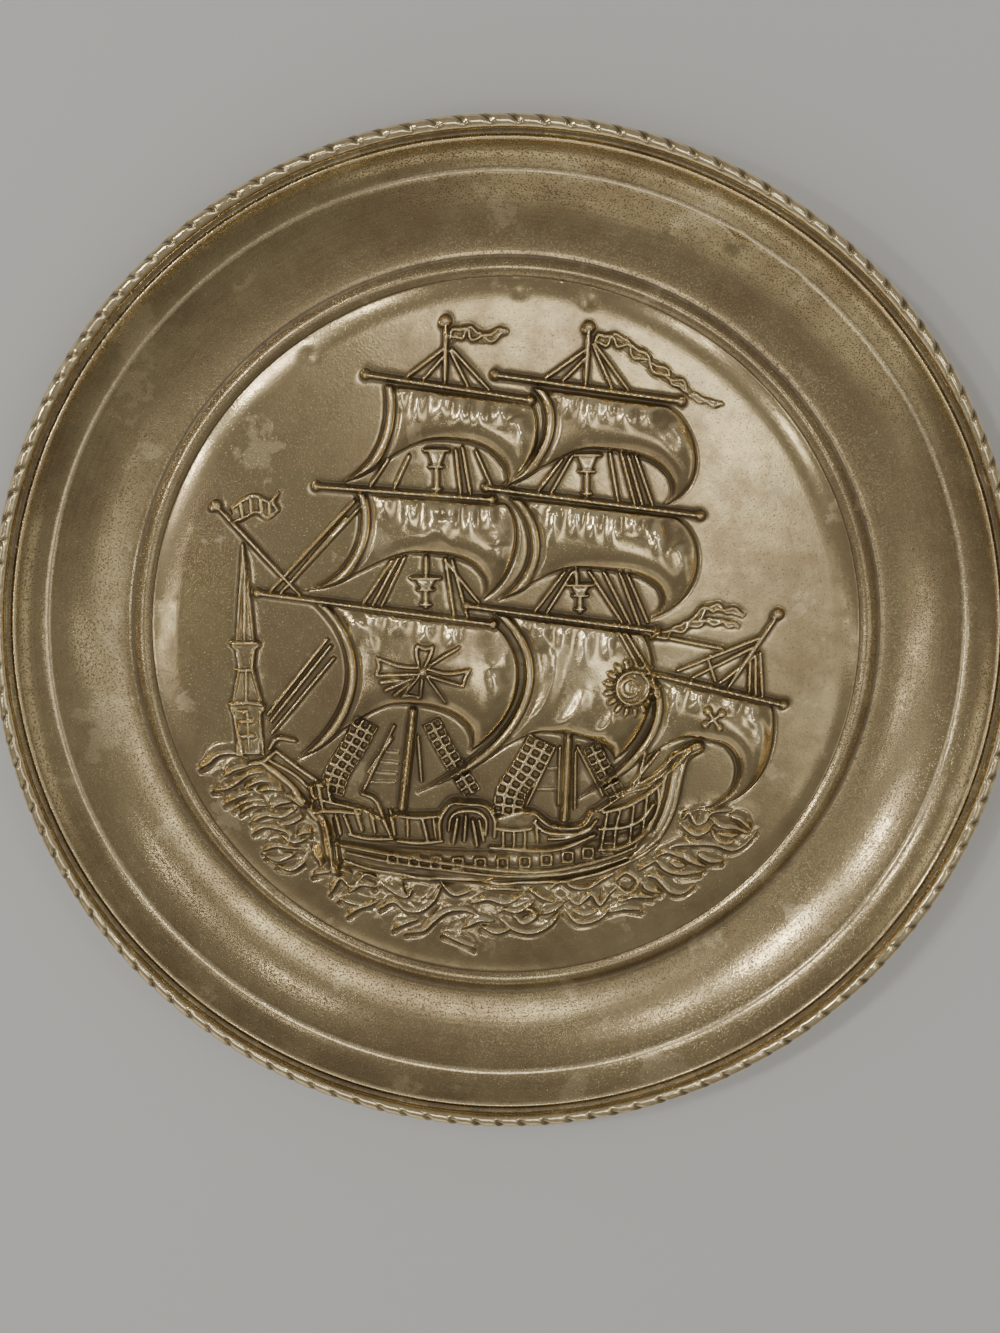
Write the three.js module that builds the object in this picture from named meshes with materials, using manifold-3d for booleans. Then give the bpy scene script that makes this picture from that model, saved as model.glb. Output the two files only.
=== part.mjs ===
// Round decorative dish of pressed sheet metal, lying face up.
// A rope-twist edge, a hollow channel, a sloping shoulder, a wide concave border and a raised ring
// surround a flat ground on which a three-masted sailing ship stands in relief over a choppy sea.
// Millimetres. +X is the picture's right, +Y its top, +Z up. The underside of the ring is at z = 0.

import * as THREE from "three";
import { mergeVertices } from "three/addons/utils/BufferGeometryUtils.js";
import Module from "manifold-3d";

// The dish: its size across, and the width of each zone from the edge inwards
const OUTER_RADIUS = 225;
const SHEET = 1;
const DEPTH = 27.2;
const ROPE_THICKNESS = 6.5;
const ROPE_STRANDS = 128;
const ROPE_GROOVE = 0.8;
const CHANNEL_LIP = 1.3;
const CHANNEL_WIDTH = 1.8;
const CHANNEL_DROP = 2.4;
const SHOULDER_TOP_DROP = 1.5;
const SHOULDER_WIDTH = 12.1;
const SHOULDER_FALL = 10.4;
const SHOULDER_HOLLOW = 1.1;
const BORDER_WIDTH = 34.8;
const BORDER_HOLLOW = 3;
const RING_WIDTH = 8.7;
const RING_HEIGHT = 1.5;
const RING_CREST_WIDTH = 4.4;
const GROUND_ROLL_WIDTH = 11.8;
const GROUND_RISE = 1.6;
const BACK_FLAT = 2.4;

// The relief: heights above the ground, and widths in the drawing
const RELIEF_WALL = 1.7;
const SAIL_HEAD_HEIGHT = 1.1;
const LEECH_HEIGHT = 3;
const YARD_WIDTH = 3.4;
const YARD_HEIGHT = 3;
const KNOB_RADIUS = 2.8;
const KNOB_HEIGHT = 2.7;
const POLE_WIDTH = 3.4;
const POLE_HEIGHT = 2;
const LOWER_MAST_WIDTH = 6;
const LOWER_MAST_HEIGHT = 3.2;
const LOOKOUT_HEIGHT = 2.8;
const STAY_WIDTH = 2.4;
const STAY_HEIGHT = 1.3;
const NET_HEIGHT = 1.3;
const NET_HOLLOW_HEIGHT = 0.5;
const HULL_HEIGHT = 5;
const HULL_EDGE_HEIGHT = 2.8;
const WALE_WIDTH = 3.6;
const WALE_HEIGHT = 4.2;
const CASTLE_HEIGHT = 3.2;
const COPING_WIDTH = 3.2;
const RAIL_WIDTH = 2;
const RAIL_HEIGHT = 4.4;
const POST_WIDTH = 7;
const POST_HEIGHT = 5;
const GUN_PORT_SIZE = 4.4;
const GUN_PORT_RISE = 0.9;
const WINDOW_SIZE = 4;
const TOWER_HEIGHT = 2.4;
const FLAG_HEIGHT = 2;
const FLAG_FOLD_HEIGHT = 0.9;
const WAVE_WIDTH = 5;
const WAVE_HEIGHT = 2.6;
const WAVE_END_HEIGHT = 1;
const EMBLEM_HEIGHT = 0.9;
const EAVE_SINK = 0.25;

// Radii and levels that follow from the sizes above
const ROPE_RADIUS = ROPE_THICKNESS / 2;
const ROPE_CENTRE_RADIUS = OUTER_RADIUS - ROPE_RADIUS;
const CHANNEL_RADIUS = OUTER_RADIUS - ROPE_THICKNESS - CHANNEL_LIP;
const SHOULDER_OUTER_RADIUS = CHANNEL_RADIUS - CHANNEL_WIDTH;
const SHOULDER_INNER_RADIUS = SHOULDER_OUTER_RADIUS - SHOULDER_WIDTH;
const BORDER_FOOT_RADIUS = SHOULDER_INNER_RADIUS - BORDER_WIDTH;
const RING_INNER_RADIUS = BORDER_FOOT_RADIUS - RING_WIDTH;
const GROUND_RADIUS = RING_INNER_RADIUS - GROUND_ROLL_WIDTH;
const CREASE_Z = SHEET;
const RIM_Z = CREASE_Z + DEPTH;
const SHOULDER_TOP_Z = RIM_Z - SHOULDER_TOP_DROP;
const SHOULDER_FOOT_Z = SHOULDER_TOP_Z - SHOULDER_FALL;
const GROUND_Z = CREASE_Z + GROUND_RISE;
const INSIDE_SHEET_Z = GROUND_Z - SHEET / 2;
const BELOW_SHEET_Z = GROUND_Z - 2 * SHEET;

// Facet counts round the axis, and the rope's section from its inner side over its top
const ROPE_COLUMNS = 2 * ROPE_STRANDS;
const CHANNEL_COLUMNS = ROPE_STRANDS;
const DISH_COLUMNS = Math.round(ROPE_STRANDS / 2);
const ROPE_SECTION_ANGLES = [2.9, 1.4, 0];
const KNOB_SIDES = 6;

// The relief is drawn on a ground of this radius, and the drawing is scaled to the real ground.
const DRAWN_GROUND_RADIUS = 148;
const DRAWING_SCALE = GROUND_RADIUS / DRAWN_GROUND_RADIUS;

// Sails. Each has its head from the first left point to the first right point, and its two side
// edges are cubic curves through the listed handles down to the lower corners, measured from the
// dish's axis. The foot is an arch: its top lies at the share crown of the width, depth below the
// head, and leftPower and rightPower set how late it sweeps down to each corner.
const SAILS = {
  foreTopgallant: {
    left: [[-53, 113.6], [-50.7, 99.2], [-53.9, 80.5], [-72.2, 70.6]],
    right: [[11, 106], [16.6, 97.3], [16, 75.2], [-1.1, 67.7]],
    depth: 20.2, crown: 0.54, leftPower: 3.4, rightPower: 1.9, height: 5.5,
  },
  mainTopgallant: {
    left: [[10.5, 112.5], [21, 105], [22, 86], [-1, 69]],
    right: [[71, 104.5], [84, 96], [92, 70], [71, 61]],
    depth: 22.5, crown: 0.42, leftPower: 2.6, rightPower: 3.3, height: 6,
  },
  foreTopsail: {
    left: [[-66.5, 66.5], [-59, 50], [-70, 24], [-93, 21.8]],
    right: [[0, 61.5], [8, 54], [7, 30], [-10, 18.5]],
    depth: 24.8, crown: 0.43, leftPower: 2.3, rightPower: 3.1, height: 6,
  },
  mainTopsail: {
    left: [[1, 64], [13, 54], [18, 32], [-4, 17.5]],
    right: [[75, 56], [89, 48], [93, 20], [65, 9.5]],
    depth: 27.3, crown: 0.44, leftPower: 3.4, rightPower: 3.2, height: 6.5,
  },
  foreCourse: {
    left: [[-86, 16.5], [-66, -2], [-64, -32], [-96, -56.5]],
    right: [[-4, 6], [10, -6], [12, -34], [-16, -52]],
    depth: 40.6, crown: 0.46, leftPower: 3, rightPower: 2.2, height: 7,
  },
  mainCourse: {
    left: [[-6, 12], [16, -4], [20, -40], [-40, -71.5]],
    right: [[62, 3], [70, -10], [70, -42], [50, -56]],
    depth: 50.9, crown: 0.46, leftPower: 4, rightPower: 2.5, height: 7,
  },
  mizzenSail: {
    left: [[61, -15.5], [73, -28], [71, -48], [33, -75]],
    right: [[121, -29.5], [125, -46], [122, -80], [81, -80.5]],
    depth: 23.3, crown: 0.55, leftPower: 4.5, rightPower: 2.4, height: 6,
  },
};

// How a sail swells, in shares of its width from the left edge and of its drop below the head.
const SWELL = {
  leftFill: 0.5, fullWidth: [0.04, 0.55],
  headFill: 0.3, fullDrop: 0.75,
  edgeRoll: 0.45, edgeStart: 0.84,
  footRoll: 0.5, footStart: 0.8,
  cornerThinning: 0.45, cornerStart: 0.6,
  leechWidth: 0.09, leechHeadShare: 0.75,
};
const SIDE_SAMPLES = 24;
const SAIL_U_CUTS = [0, 0.045, 0.14, 0.36, 0.6, 0.82, 1];
const SAIL_V_CUTS = [0, 0.32, 0.66, 0.86, 1];
const HOLLOW_U_CUTS = [0.1, 0.36, 0.64, 0.93];
const HOLLOW_V_CUTS = [0.1, 0.4, 0.66, 0.9];

// Yards, poles, lower masts and stays: both ends of each
const YARDS = [
  [[-61.3, 118], [11, 107]],
  [[-4.5, 117.8], [77, 106.5]],
  [[-83.8, 69.2], [-6, 63.4]],
  [[-8.5, 68.5], [86.5, 56.3]],
  [[-111.5, 21.3], [-5.5, 7.2]],
  [[-17.5, 15.6], [68, 4.2]],
  [[54.2, -12.5], [126.3, -29.8]],
];
const POLES = [
  [[-26, 141], [-26.6, 114.7]],
  [[36.3, 138.3], [34.9, 113.6]],
  [[122.5, 11.7], [101, -21.7]],
  [[-128.8, 60.5], [-92.5, 20.5]],
];
const LOWER_MASTS = [
  [[-42, -33], [-47.5, -79]],
  [[28.7, -45], [27.1, -84]],
];
const STAYS = [
  [[-27, 129], [-44.2, 116.2]],
  [[-24.2, 128.3], [-16.3, 112.4]],
  [[-23.4, 128.8], [-6.5, 110.6]],
  [[35.8, 129.3], [14.1, 114]],
  [[38, 131], [47.2, 110.6]],
  [[39, 131], [54.8, 109.8]],
  [[-42.6, 82.5], [-49.7, 67.4]],
  [[-13, 84.5], [-5.2, 66.5]],
  [[24.9, 81], [14.1, 66.5]],
  [[51, 84], [57.5, 60.8]],
  [[57.5, 82.5], [65.6, 59.8]],
  [[-50.7, 36], [-64.3, 15.8]],
  [[-24, 36.5], [-17.1, 10]],
  [[26.6, 31], [13, 12.6]],
  [[37.4, 31], [53.1, 7]],
  [[51, 31], [60.5, 6]],
  [[52, 7], [65, -14]],
  [[-67, 62.7], [-106, 21.5]],
  [[-80.6, 0], [-108.2, -34.7]],
  [[-77.8, -8.7], [-106.6, -43.4]],
  [[116, 1.5], [78, -14.1]],
  [[112.5, -3], [84.6, -17.4]],
  [[110.6, -9], [110.6, -24]],
  [[115, -6], [116.6, -26]],
  [[63, 3], [97.8, -4]],
  [[-50.7, -40], [-64.8, -70]],
];

// Look-outs: the middle of the rim, the drop to the foot of the stem, and the rim's width
const LOOKOUTS = [
  { at: [-30.5, 85], drop: 18, width: 11 },
  { at: [36, 83], drop: 18, width: 12 },
  { at: [-35.8, 28], drop: 13, width: 13 },
  { at: [33.5, 25], drop: 12, width: 12 },
];
const LOOKOUT_CUP_SHARE = 0.2;
const LOOKOUT_TAPER = 0.8;
const LOOKOUT_STEM_SHARE = 0.28;

// Rope ladders: the middle line's ends, and the width
const NETS = [
  { ends: [[-62.5, -38], [-77, -72]], width: 9 },
  { ends: [[-34.5, -38], [-16, -72]], width: 7 },
  { ends: [[14, -48], [0, -81]], width: 12 },
  { ends: [[40, -49], [52, -73]], width: 7.5 },
];
const NET_RUNGS = 4;
const NET_WEB = 0.32;

// The hull: cubic curves for its keel, rails, sternpost and stem
const KEEL = [[-82, -105], [-40, -117], [45, -120], [73, -92]];
const MAIN_RAIL = [[-80, -92], [-35, -100], [25, -102], [68, -84]];
const UPPER_RAIL = [[-56, -89], [-20, -94], [20, -95], [44, -89]];
const POST = [[87, -50], [74, -52], [84, -84], [56, -104]];
const STEM = [[-89, -79], [-79, -86], [-83, -96], [-79, -110]];
const POOP_RAIL = [[84, -50], [72, -66], [60, -72], [41, -80]];
const WAIST_RAIL = [[41, -80], [34, -93], [18, -90], [9, -80]];
const BEAK_RAILS = [
  [[-106, -52], [-84, -68]],
  [[-109, -56], [-86, -74]],
  [[-111, -60], [-88, -80]],
];
const CASTLES = [
  { left: -91, right: -73, low: -84, high: -67 },
  { left: -74, right: -52, low: -92, high: -75 },
  { left: -52, right: -30, low: -92, high: -82 },
  { left: -30, right: -5, low: -94, high: -77 },
  { left: -5, right: 18, low: -96, high: -86 },
];
const CASTLE_POSTS = 2;
const CASTLE_POST_INSET = 0.2;
const CASTLE_POST_GAP = 2;

// The hull's hollow back, gun ports and stern, in shares along and across the side
const HULL_HOLLOW = { along: [0.08, 0.92], across: [0.2, 0.8] };
const GUN_PORTS = 9;
const GUN_PORT_SPAN = [0.16, 0.76];
const GUN_PORT_DROP = 0.36;
const STERN = { poopSpan: [1, 0.3], railSpan: [0.8, 0.99] };
const WINDOWS = { columns: 4, rows: 2, along: [0.12, 0.78], across: [0.3, 0.74] };

// The tower at the bow: half widths at heights from its tip downwards
const TOWER_AXIS_X = -117.2;
const TOWER_LEAN = 0.02;
const TOWER = [
  [44, 0.5], [20, 2.6], [-1, 4.2], [-2.5, 7], [-5, 5], [-13, 3.6],
  [-28, 6.4], [-31, 7.8], [-34, 6.6], [-54, 5.4],
];

// Pennants: a middle line along a cubic curve, the width, and the number of ripples along it
const PENNANTS = [
  { path: [[-24, 134], [-16, 139], [-8, 128], [1, 136]], width: 6.5, ripples: 2 },
  { path: [[39, 129], [56, 140], [68, 118], [81, 112]], width: 6, ripples: 4 },
  { path: [[-122, 57], [-116, 62], [-108, 56], [-101, 62]], width: 9.5, ripples: 2 },
  { path: [[67, 0], [82, 4], [88, 18], [107, 11]], width: 5, ripples: 3 },
];
const PENNANT_TAPER = 0.6;

// The cross on the fore course, the sun on the main course and the flower on the mizzen sail
const CROSS = { at: [-37, -14], reach: [20, 13], waist: 2.2, flare: 9, sail: "foreCourse" };
const FLOWER = { at: [94, -36], reach: [5, 5], waist: 1.6, flare: 4, sail: "mizzenSail" };
const CROSS_TILT = 0.06;
const SUN = { at: [57, -21], disc: 7.3, hub: 3.5, reach: 12.5, rays: 10, sail: "mainCourse" };

// Rows of wave crests: each runs from one end to the other with its own number of crests
const WAVE_ROWS = [
  { from: [-134, -58], to: [-108, -62], crests: 2 },
  { from: [-128, -72], to: [-104, -76], crests: 2 },
  { from: [-118, -87], to: [-94, -91], crests: 1 },
  { from: [-110, -102], to: [-92, -104], crests: 1 },
  { from: [-84, -115], to: [76, -113], crests: 7 },
  { from: [-76, -125], to: [64, -124], crests: 5 },
  { from: [-50, -136], to: [44, -135], crests: 4 },
  { from: [82, -84], to: [114, -88], crests: 2 },
  { from: [80, -94], to: [112, -98], crests: 2 },
  { from: [68, -104], to: [100, -106], crests: 1 },
];
const CREST = { fill: 0.92, arch: 3.4, backArch: -2, bob: 1.2, bobStep: 2.3, lean: 2.2, leanStep: 1.7 };
const CREST_STEPS = 3;

const MERGE_DISTANCE = 1e-4;

const wasm = await Module();
wasm.setup();

// A closed triangle mesh as a solid that can be joined and cut.
function solidFrom(geometry) {
  const bare = geometry.clone();
  bare.deleteAttribute("normal");
  bare.deleteAttribute("uv");
  const merged = mergeVertices(bare, MERGE_DISTANCE);
  return new wasm.Manifold(new wasm.Mesh({
    numProp: 3,
    vertProperties: new Float32Array(merged.attributes.position.array),
    triVerts: new Uint32Array(merged.index.array),
  }));
}

function geometryFrom(points, faces) {
  const geometry = new THREE.BufferGeometry();
  geometry.setAttribute("position", new THREE.Float32BufferAttribute(points.flat(), 3));
  geometry.setIndex(faces.flat());
  return geometry;
}

const mix = (a, b, share) => a + (b - a) * share;
const smooth = (low, high, value) => THREE.MathUtils.smoothstep(value, low, high);
const evenCuts = (count, from = 0, to = 1) => (
  Array.from({ length: count + 1 }, (_, k) => mix(from, to, k / count))
);

// A concave stretch between two circles, sagging by hollow in its middle.
function sagged([r0, z0], [r1, z1], hollow, share) {
  return [mix(r0, r1, share), mix(z0, z1, share) - hollow * 4 * share * (1 - share)];
}

// The radius and level of each ring of points, from the middle of the face out to the channel.
function faceProfile() {
  const foot = [BORDER_FOOT_RADIUS, CREASE_Z];
  const shoulderFoot = [SHOULDER_INNER_RADIUS, SHOULDER_FOOT_Z];
  const shoulderTop = [SHOULDER_OUTER_RADIUS, SHOULDER_TOP_Z];
  const ringInner = [RING_INNER_RADIUS, CREASE_Z];
  const ringMiddle = (BORDER_FOOT_RADIUS + RING_INNER_RADIUS) / 2;
  const ringTop = CREASE_Z + RING_HEIGHT;
  return [
    [GROUND_RADIUS, GROUND_Z],
    sagged([GROUND_RADIUS, GROUND_Z], ringInner, -GROUND_RISE / 6, 0.5),
    ringInner,
    [ringMiddle - RING_CREST_WIDTH / 2, ringTop],
    [ringMiddle + RING_CREST_WIDTH / 2, ringTop],
    foot,
    sagged(foot, shoulderFoot, BORDER_HOLLOW, 0.5),
    shoulderFoot,
    sagged(shoulderFoot, shoulderTop, SHOULDER_HOLLOW, 0.5),
  ];
}

// The same for the underside, from the shoulder back in to the ground. The sheet rests on two flat
// rings, one under the border's foot and one under the inner side of the raised ring.
function backProfile() {
  const borderMiddle = sagged([BORDER_FOOT_RADIUS, CREASE_Z],
    [SHOULDER_INNER_RADIUS, SHOULDER_FOOT_Z], BORDER_HOLLOW, 0.5);
  const outerFlat = BORDER_FOOT_RADIUS + SHEET;
  const innerFlat = RING_INNER_RADIUS - SHEET;
  return [
    [SHOULDER_INNER_RADIUS + SHEET, SHOULDER_FOOT_Z - SHEET],
    [borderMiddle[0] + SHEET / 2, borderMiddle[1] - SHEET],
    [outerFlat, 0],
    [outerFlat - BACK_FLAT, 0],
    [(outerFlat + innerFlat) / 2, RING_HEIGHT],
    [innerFlat + BACK_FLAT, 0],
    [innerFlat, 0],
    [GROUND_RADIUS - SHEET / 2, GROUND_Z - SHEET],
  ];
}

// The dish is a stack of rings, from the middle of its face outwards, round the rope edge and back
// under to the middle.
function makeDish() {
  const points = [];
  const faces = [];
  const addPoint = (point) => points.push(point) - 1;
  const addCircle = (count, angleAt, sectionAt) => Array.from({ length: count }, (_, k) => {
    const angle = angleAt(k);
    const [radius, z] = sectionAt(k);
    return addPoint([radius * Math.cos(angle), radius * Math.sin(angle), z]);
  });
  const addRing = (count, radius, z) => (
    addCircle(count, (k) => (2 * Math.PI * k) / count, () => [radius, z])
  );

  // Joins two rings of any numbers of points, each time stepping on along the one that lags behind.
  const joinRings = (first, second) => {
    let a = 0;
    let b = 0;
    while (a < first.length || b < second.length) {
      const start = first[a % first.length];
      const across = second[b % second.length];
      if ((2 * a + 1) * second.length < (2 * b + 1) * first.length) {
        a += 1;
        faces.push([start, across, first[a % first.length]]);
      } else {
        b += 1;
        faces.push([start, across, second[b % second.length]]);
      }
    }
  };

  // One ring of the rope: even columns stand on the strands and odd ones in the grooves, and each
  // ring is turned a little against the one before, so that the strands lie aslant.
  const addRopeRing = (sectionAngle, turnedColumns) => addCircle(
    ROPE_COLUMNS,
    (k) => (2 * Math.PI * (k - turnedColumns)) / ROPE_COLUMNS,
    (k) => {
      const section = ROPE_RADIUS - (k % 2 ? ROPE_GROOVE : 0);
      return [
        ROPE_CENTRE_RADIUS + section * Math.cos(sectionAngle),
        RIM_Z + section * Math.sin(sectionAngle),
      ];
    },
  );

  const faceMiddle = addPoint([0, 0, GROUND_Z]);
  const rings = faceProfile().map(([radius, z]) => addRing(DISH_COLUMNS, radius, z));
  rings.push(addRing(CHANNEL_COLUMNS, SHOULDER_OUTER_RADIUS, SHOULDER_TOP_Z));
  rings.push(addRing(CHANNEL_COLUMNS, CHANNEL_RADIUS, RIM_Z - CHANNEL_DROP));
  const lastAngle = ROPE_SECTION_ANGLES.length - 1;
  rings.push(...ROPE_SECTION_ANGLES.map((angle, k) => addRopeRing(angle, k / lastAngle)));

  // The underside starts from the rope's last ring, read one column on.
  const lastRope = rings[rings.length - 1];
  const turned = lastRope.map((_, k) => lastRope[(k + 1) % ROPE_COLUMNS]);
  const backRings = [
    turned,
    addRing(CHANNEL_COLUMNS, ROPE_CENTRE_RADIUS - ROPE_RADIUS / 2, RIM_Z - ROPE_RADIUS),
    addRing(DISH_COLUMNS, SHOULDER_OUTER_RADIUS, RIM_Z - ROPE_RADIUS),
    ...backProfile().map(([radius, z]) => addRing(DISH_COLUMNS, radius, z)),
  ];
  const backMiddle = addPoint([0, 0, GROUND_Z - SHEET]);

  rings[0].forEach((point, k) => {
    faces.push([faceMiddle, point, rings[0][(k + 1) % DISH_COLUMNS]]);
  });
  for (let k = 1; k < rings.length; k += 1) joinRings(rings[k - 1], rings[k]);
  for (let k = 1; k < backRings.length; k += 1) joinRings(backRings[k - 1], backRings[k]);
  const lastBack = backRings[backRings.length - 1];
  lastBack.forEach((point, k) => {
    faces.push([point, backMiddle, lastBack[(k + 1) % DISH_COLUMNS]]);
  });
  return solidFrom(geometryFrom(points, faces));
}

// A closed solid under a surface. pointAt(u, v) gives x and y in the drawing and the height above
// the ground at each crossing of the u and v cuts, and walls drop from the border to the floor.
function patchSolid(uCuts, vCuts, pointAt, floorZ = INSIDE_SHEET_Z) {
  const rows = vCuts.length;
  const top = uCuts.flatMap((u) => vCuts.map((v) => {
    const [x, y, height] = pointAt(u, v);
    return [x * DRAWING_SCALE, y * DRAWING_SCALE, GROUND_Z + height];
  }));
  const points = [...top, ...top.map(([x, y]) => [x, y, floorZ])];
  const under = top.length;
  const faces = [];
  const addQuad = (a, b, c, d) => faces.push([a, b, c], [a, c, d]);
  for (let i = 0; i < uCuts.length - 1; i += 1) {
    for (let j = 0; j < rows - 1; j += 1) {
      const a = i * rows + j;
      addQuad(a, a + rows, a + rows + 1, a + 1);
      addQuad(under + a, under + a + 1, under + a + rows + 1, under + a + rows);
    }
  }
  const wall = (a, b) => addQuad(b, under + b, under + a, a);
  const lastColumn = (uCuts.length - 1) * rows;
  for (let i = 0; i < uCuts.length - 1; i += 1) {
    wall((i + 1) * rows, i * rows);
    wall(i * rows + rows - 1, (i + 1) * rows + rows - 1);
  }
  for (let j = 0; j < rows - 1; j += 1) {
    wall(j, j + 1);
    wall(lastColumn + j + 1, lastColumn + j);
  }

  // A patch whose cuts run the other way round comes out inside out, and is turned.
  const corner = [new THREE.Vector3(), new THREE.Vector3(), new THREE.Vector3()];
  const volume = faces.reduce((sum, face) => {
    face.forEach((index, k) => corner[k].fromArray(points[index]));
    return sum + corner[0].dot(corner[1].clone().cross(corner[2]));
  }, 0);
  const outward = volume > 0 ? faces : faces.map(([a, b, c]) => [a, c, b]);
  return solidFrom(geometryFrom(points, outward));
}

// A straight line or a cubic curve in the drawing.
function pathFrom(points) {
  const [a, b, c, d] = points.map(([x, y]) => new THREE.Vector2(x, y));
  return d ? new THREE.CubicBezierCurve(a, b, c, d) : new THREE.LineCurve(a, b);
}

// A roof-shaped bar along a path. Its ridge has the height that ridgeAt gives for each share of its
// length, and its eaves dip just under the surface, at the height base, that it is laid on.
function bar(points, width, ridgeAt, { base = 0, steps = 1 } = {}) {
  const path = pathFrom(points);
  return patchSolid([-1, 0, 1], evenCuts(steps), (u, v) => {
    const middle = path.getPoint(v);
    const along = path.getTangent(v);
    const ridge = typeof ridgeAt === "number" ? ridgeAt : ridgeAt(v);
    const across = (width / 2) * u;
    return [middle.x - along.y * across, middle.y + along.x * across, u ? base - EAVE_SINK : ridge];
  });
}

function knob([x, y]) {
  const rise = GROUND_Z + KNOB_HEIGHT - INSIDE_SHEET_Z;
  const cone = new THREE.ConeGeometry(KNOB_RADIUS, rise, KNOB_SIDES);
  cone.rotateX(Math.PI / 2);
  cone.translate(x * DRAWING_SCALE, y * DRAWING_SCALE, INSIDE_SHEET_Z + rise / 2);
  return solidFrom(cone);
}

function box(x, y, width, height, top) {
  return patchSolid([-0.5, 0.5], [-0.5, 0.5], (u, v) => [x + u * width, y + v * height, top]);
}

// The surface between two curves, read at a share u along both and v from the first to the second.
function between(first, second, u, v) {
  const point = first.getPoint(u).lerp(second.getPoint(u), v);
  return [point.x, point.y];
}

// A sail's own frame: s runs along the head and t down from it. Its side edges are read as s at a
// given t, and its foot as t at a given share u of the width.
function sailFrame(sail) {
  const head = new THREE.Vector2(...sail.left[0]);
  const along = new THREE.Vector2(...sail.right[0]).sub(head).normalize();
  const down = new THREE.Vector2(along.y, -along.x);
  const edge = (points) => pathFrom(points).getPoints(SIDE_SAMPLES).map((point) => {
    const offset = point.sub(head);
    return { s: offset.dot(along), t: offset.dot(down) };
  });
  const left = edge(sail.left);
  const right = edge(sail.right);
  const sideAt = (samples, t) => {
    const k = samples.findIndex((sample) => sample.t >= t);
    if (k < 0) return samples[samples.length - 1].s;
    if (k === 0) return samples[0].s;
    const before = samples[k - 1];
    return mix(before.s, samples[k].s, (t - before.t) / (samples[k].t - before.t));
  };
  const leftDepth = left[left.length - 1].t;
  const rightDepth = right[right.length - 1].t;
  const footAt = (u) => (u < sail.crown
    ? mix(sail.depth, leftDepth, (1 - u / sail.crown) ** sail.leftPower)
    : mix(sail.depth, rightDepth, ((u - sail.crown) / (1 - sail.crown)) ** sail.rightPower));
  const pointAt = (u, v) => {
    const t = v * footAt(u);
    const s = mix(sideAt(left, t), sideAt(right, t), u);
    return [head.x + along.x * s + down.x * t, head.y + along.y * s + down.y * t];
  };
  const sharesAt = (x, y) => {
    const offset = new THREE.Vector2(x, y).sub(head);
    const t = offset.dot(down);
    const s0 = sideAt(left, t);
    const u = THREE.MathUtils.clamp((offset.dot(along) - s0) / (sideAt(right, t) - s0), 0, 1);
    return [u, THREE.MathUtils.clamp(t / footAt(u), 0, 1)];
  };
  return { pointAt, sharesAt };
}

// A sail's height: low at the head and along the left edge, full over the lower right, rolled down
// at the foot and the right edge, and thinner towards the two lower corners.
function sailHeight(sail, u, v) {
  const acrossFill = mix(SWELL.leftFill, 1, smooth(...SWELL.fullWidth, u));
  const downFill = Math.sin((Math.PI / 2) * Math.min(v / SWELL.fullDrop, 1));
  const edgeRoll = 1 - SWELL.edgeRoll * smooth(SWELL.edgeStart, 1, u);
  const footRoll = 1 - SWELL.footRoll * smooth(SWELL.footStart, 1, v);
  const fromCrown = Math.abs(u - sail.crown) / Math.max(sail.crown, 1 - sail.crown);
  const corner = 1 - SWELL.cornerThinning * smooth(SWELL.cornerStart, 1, fromCrown) * v;
  const swell = sail.height * acrossFill * mix(SWELL.headFill, 1, downFill);
  const leech = LEECH_HEIGHT * (1 - smooth(0, SWELL.leechWidth, u));
  return Math.max(
    swell * edgeRoll * footRoll * corner,
    leech * mix(SWELL.leechHeadShare, 1, v),
    SAIL_HEAD_HEIGHT,
  );
}

function makeSails() {
  return Object.values(SAILS).map((sail) => {
    const frame = sailFrame(sail);
    return patchSolid(SAIL_U_CUTS, SAIL_V_CUTS, (u, v) => (
      [...frame.pointAt(u, v), sailHeight(sail, u, v)]
    ));
  });
}

// What is pressed out of the back of each sail: the same swell, lowered by the wall.
function makeSailHollows() {
  return Object.values(SAILS).map((sail) => {
    const frame = sailFrame(sail);
    return patchSolid(HOLLOW_U_CUTS, HOLLOW_V_CUTS, (u, v) => (
      [...frame.pointAt(u, v), Math.max(sailHeight(sail, u, v) - RELIEF_WALL, -SHEET / 2)]
    ), BELOW_SHEET_Z);
  });
}

const hullHeight = (v) => mix(HULL_EDGE_HEIGHT, HULL_HEIGHT, Math.sin(Math.PI * v));

function makeHull() {
  const keel = pathFrom(KEEL);
  const rail = pathFrom(MAIN_RAIL);
  return patchSolid(evenCuts(8), evenCuts(3), (u, v) => [...between(keel, rail, u, v), hullHeight(v)]);
}

function makeHullHollow() {
  const keel = pathFrom(KEEL);
  const rail = pathFrom(MAIN_RAIL);
  const { along, across } = HULL_HOLLOW;
  return patchSolid(evenCuts(6, ...along), evenCuts(2, ...across), (u, v) => (
    [...between(keel, rail, u, v), hullHeight(v) - RELIEF_WALL]
  ), BELOW_SHEET_Z);
}

function makeCastle({ left, right, low, high }) {
  const width = right - left;
  const inset = width * CASTLE_POST_INSET;
  const body = box((left + right) / 2, (low + high) / 2, width, high - low, CASTLE_HEIGHT);
  const coping = bar([[left, high], [right, high]], COPING_WIDTH, RAIL_HEIGHT);
  const posts = evenCuts(CASTLE_POSTS - 1, left + inset, right - inset).map((x) => bar(
    [[x, low + CASTLE_POST_GAP], [x, high - CASTLE_POST_GAP]],
    RAIL_WIDTH,
    RAIL_HEIGHT,
    { base: CASTLE_HEIGHT },
  ));
  return [body, coping, ...posts];
}

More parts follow.
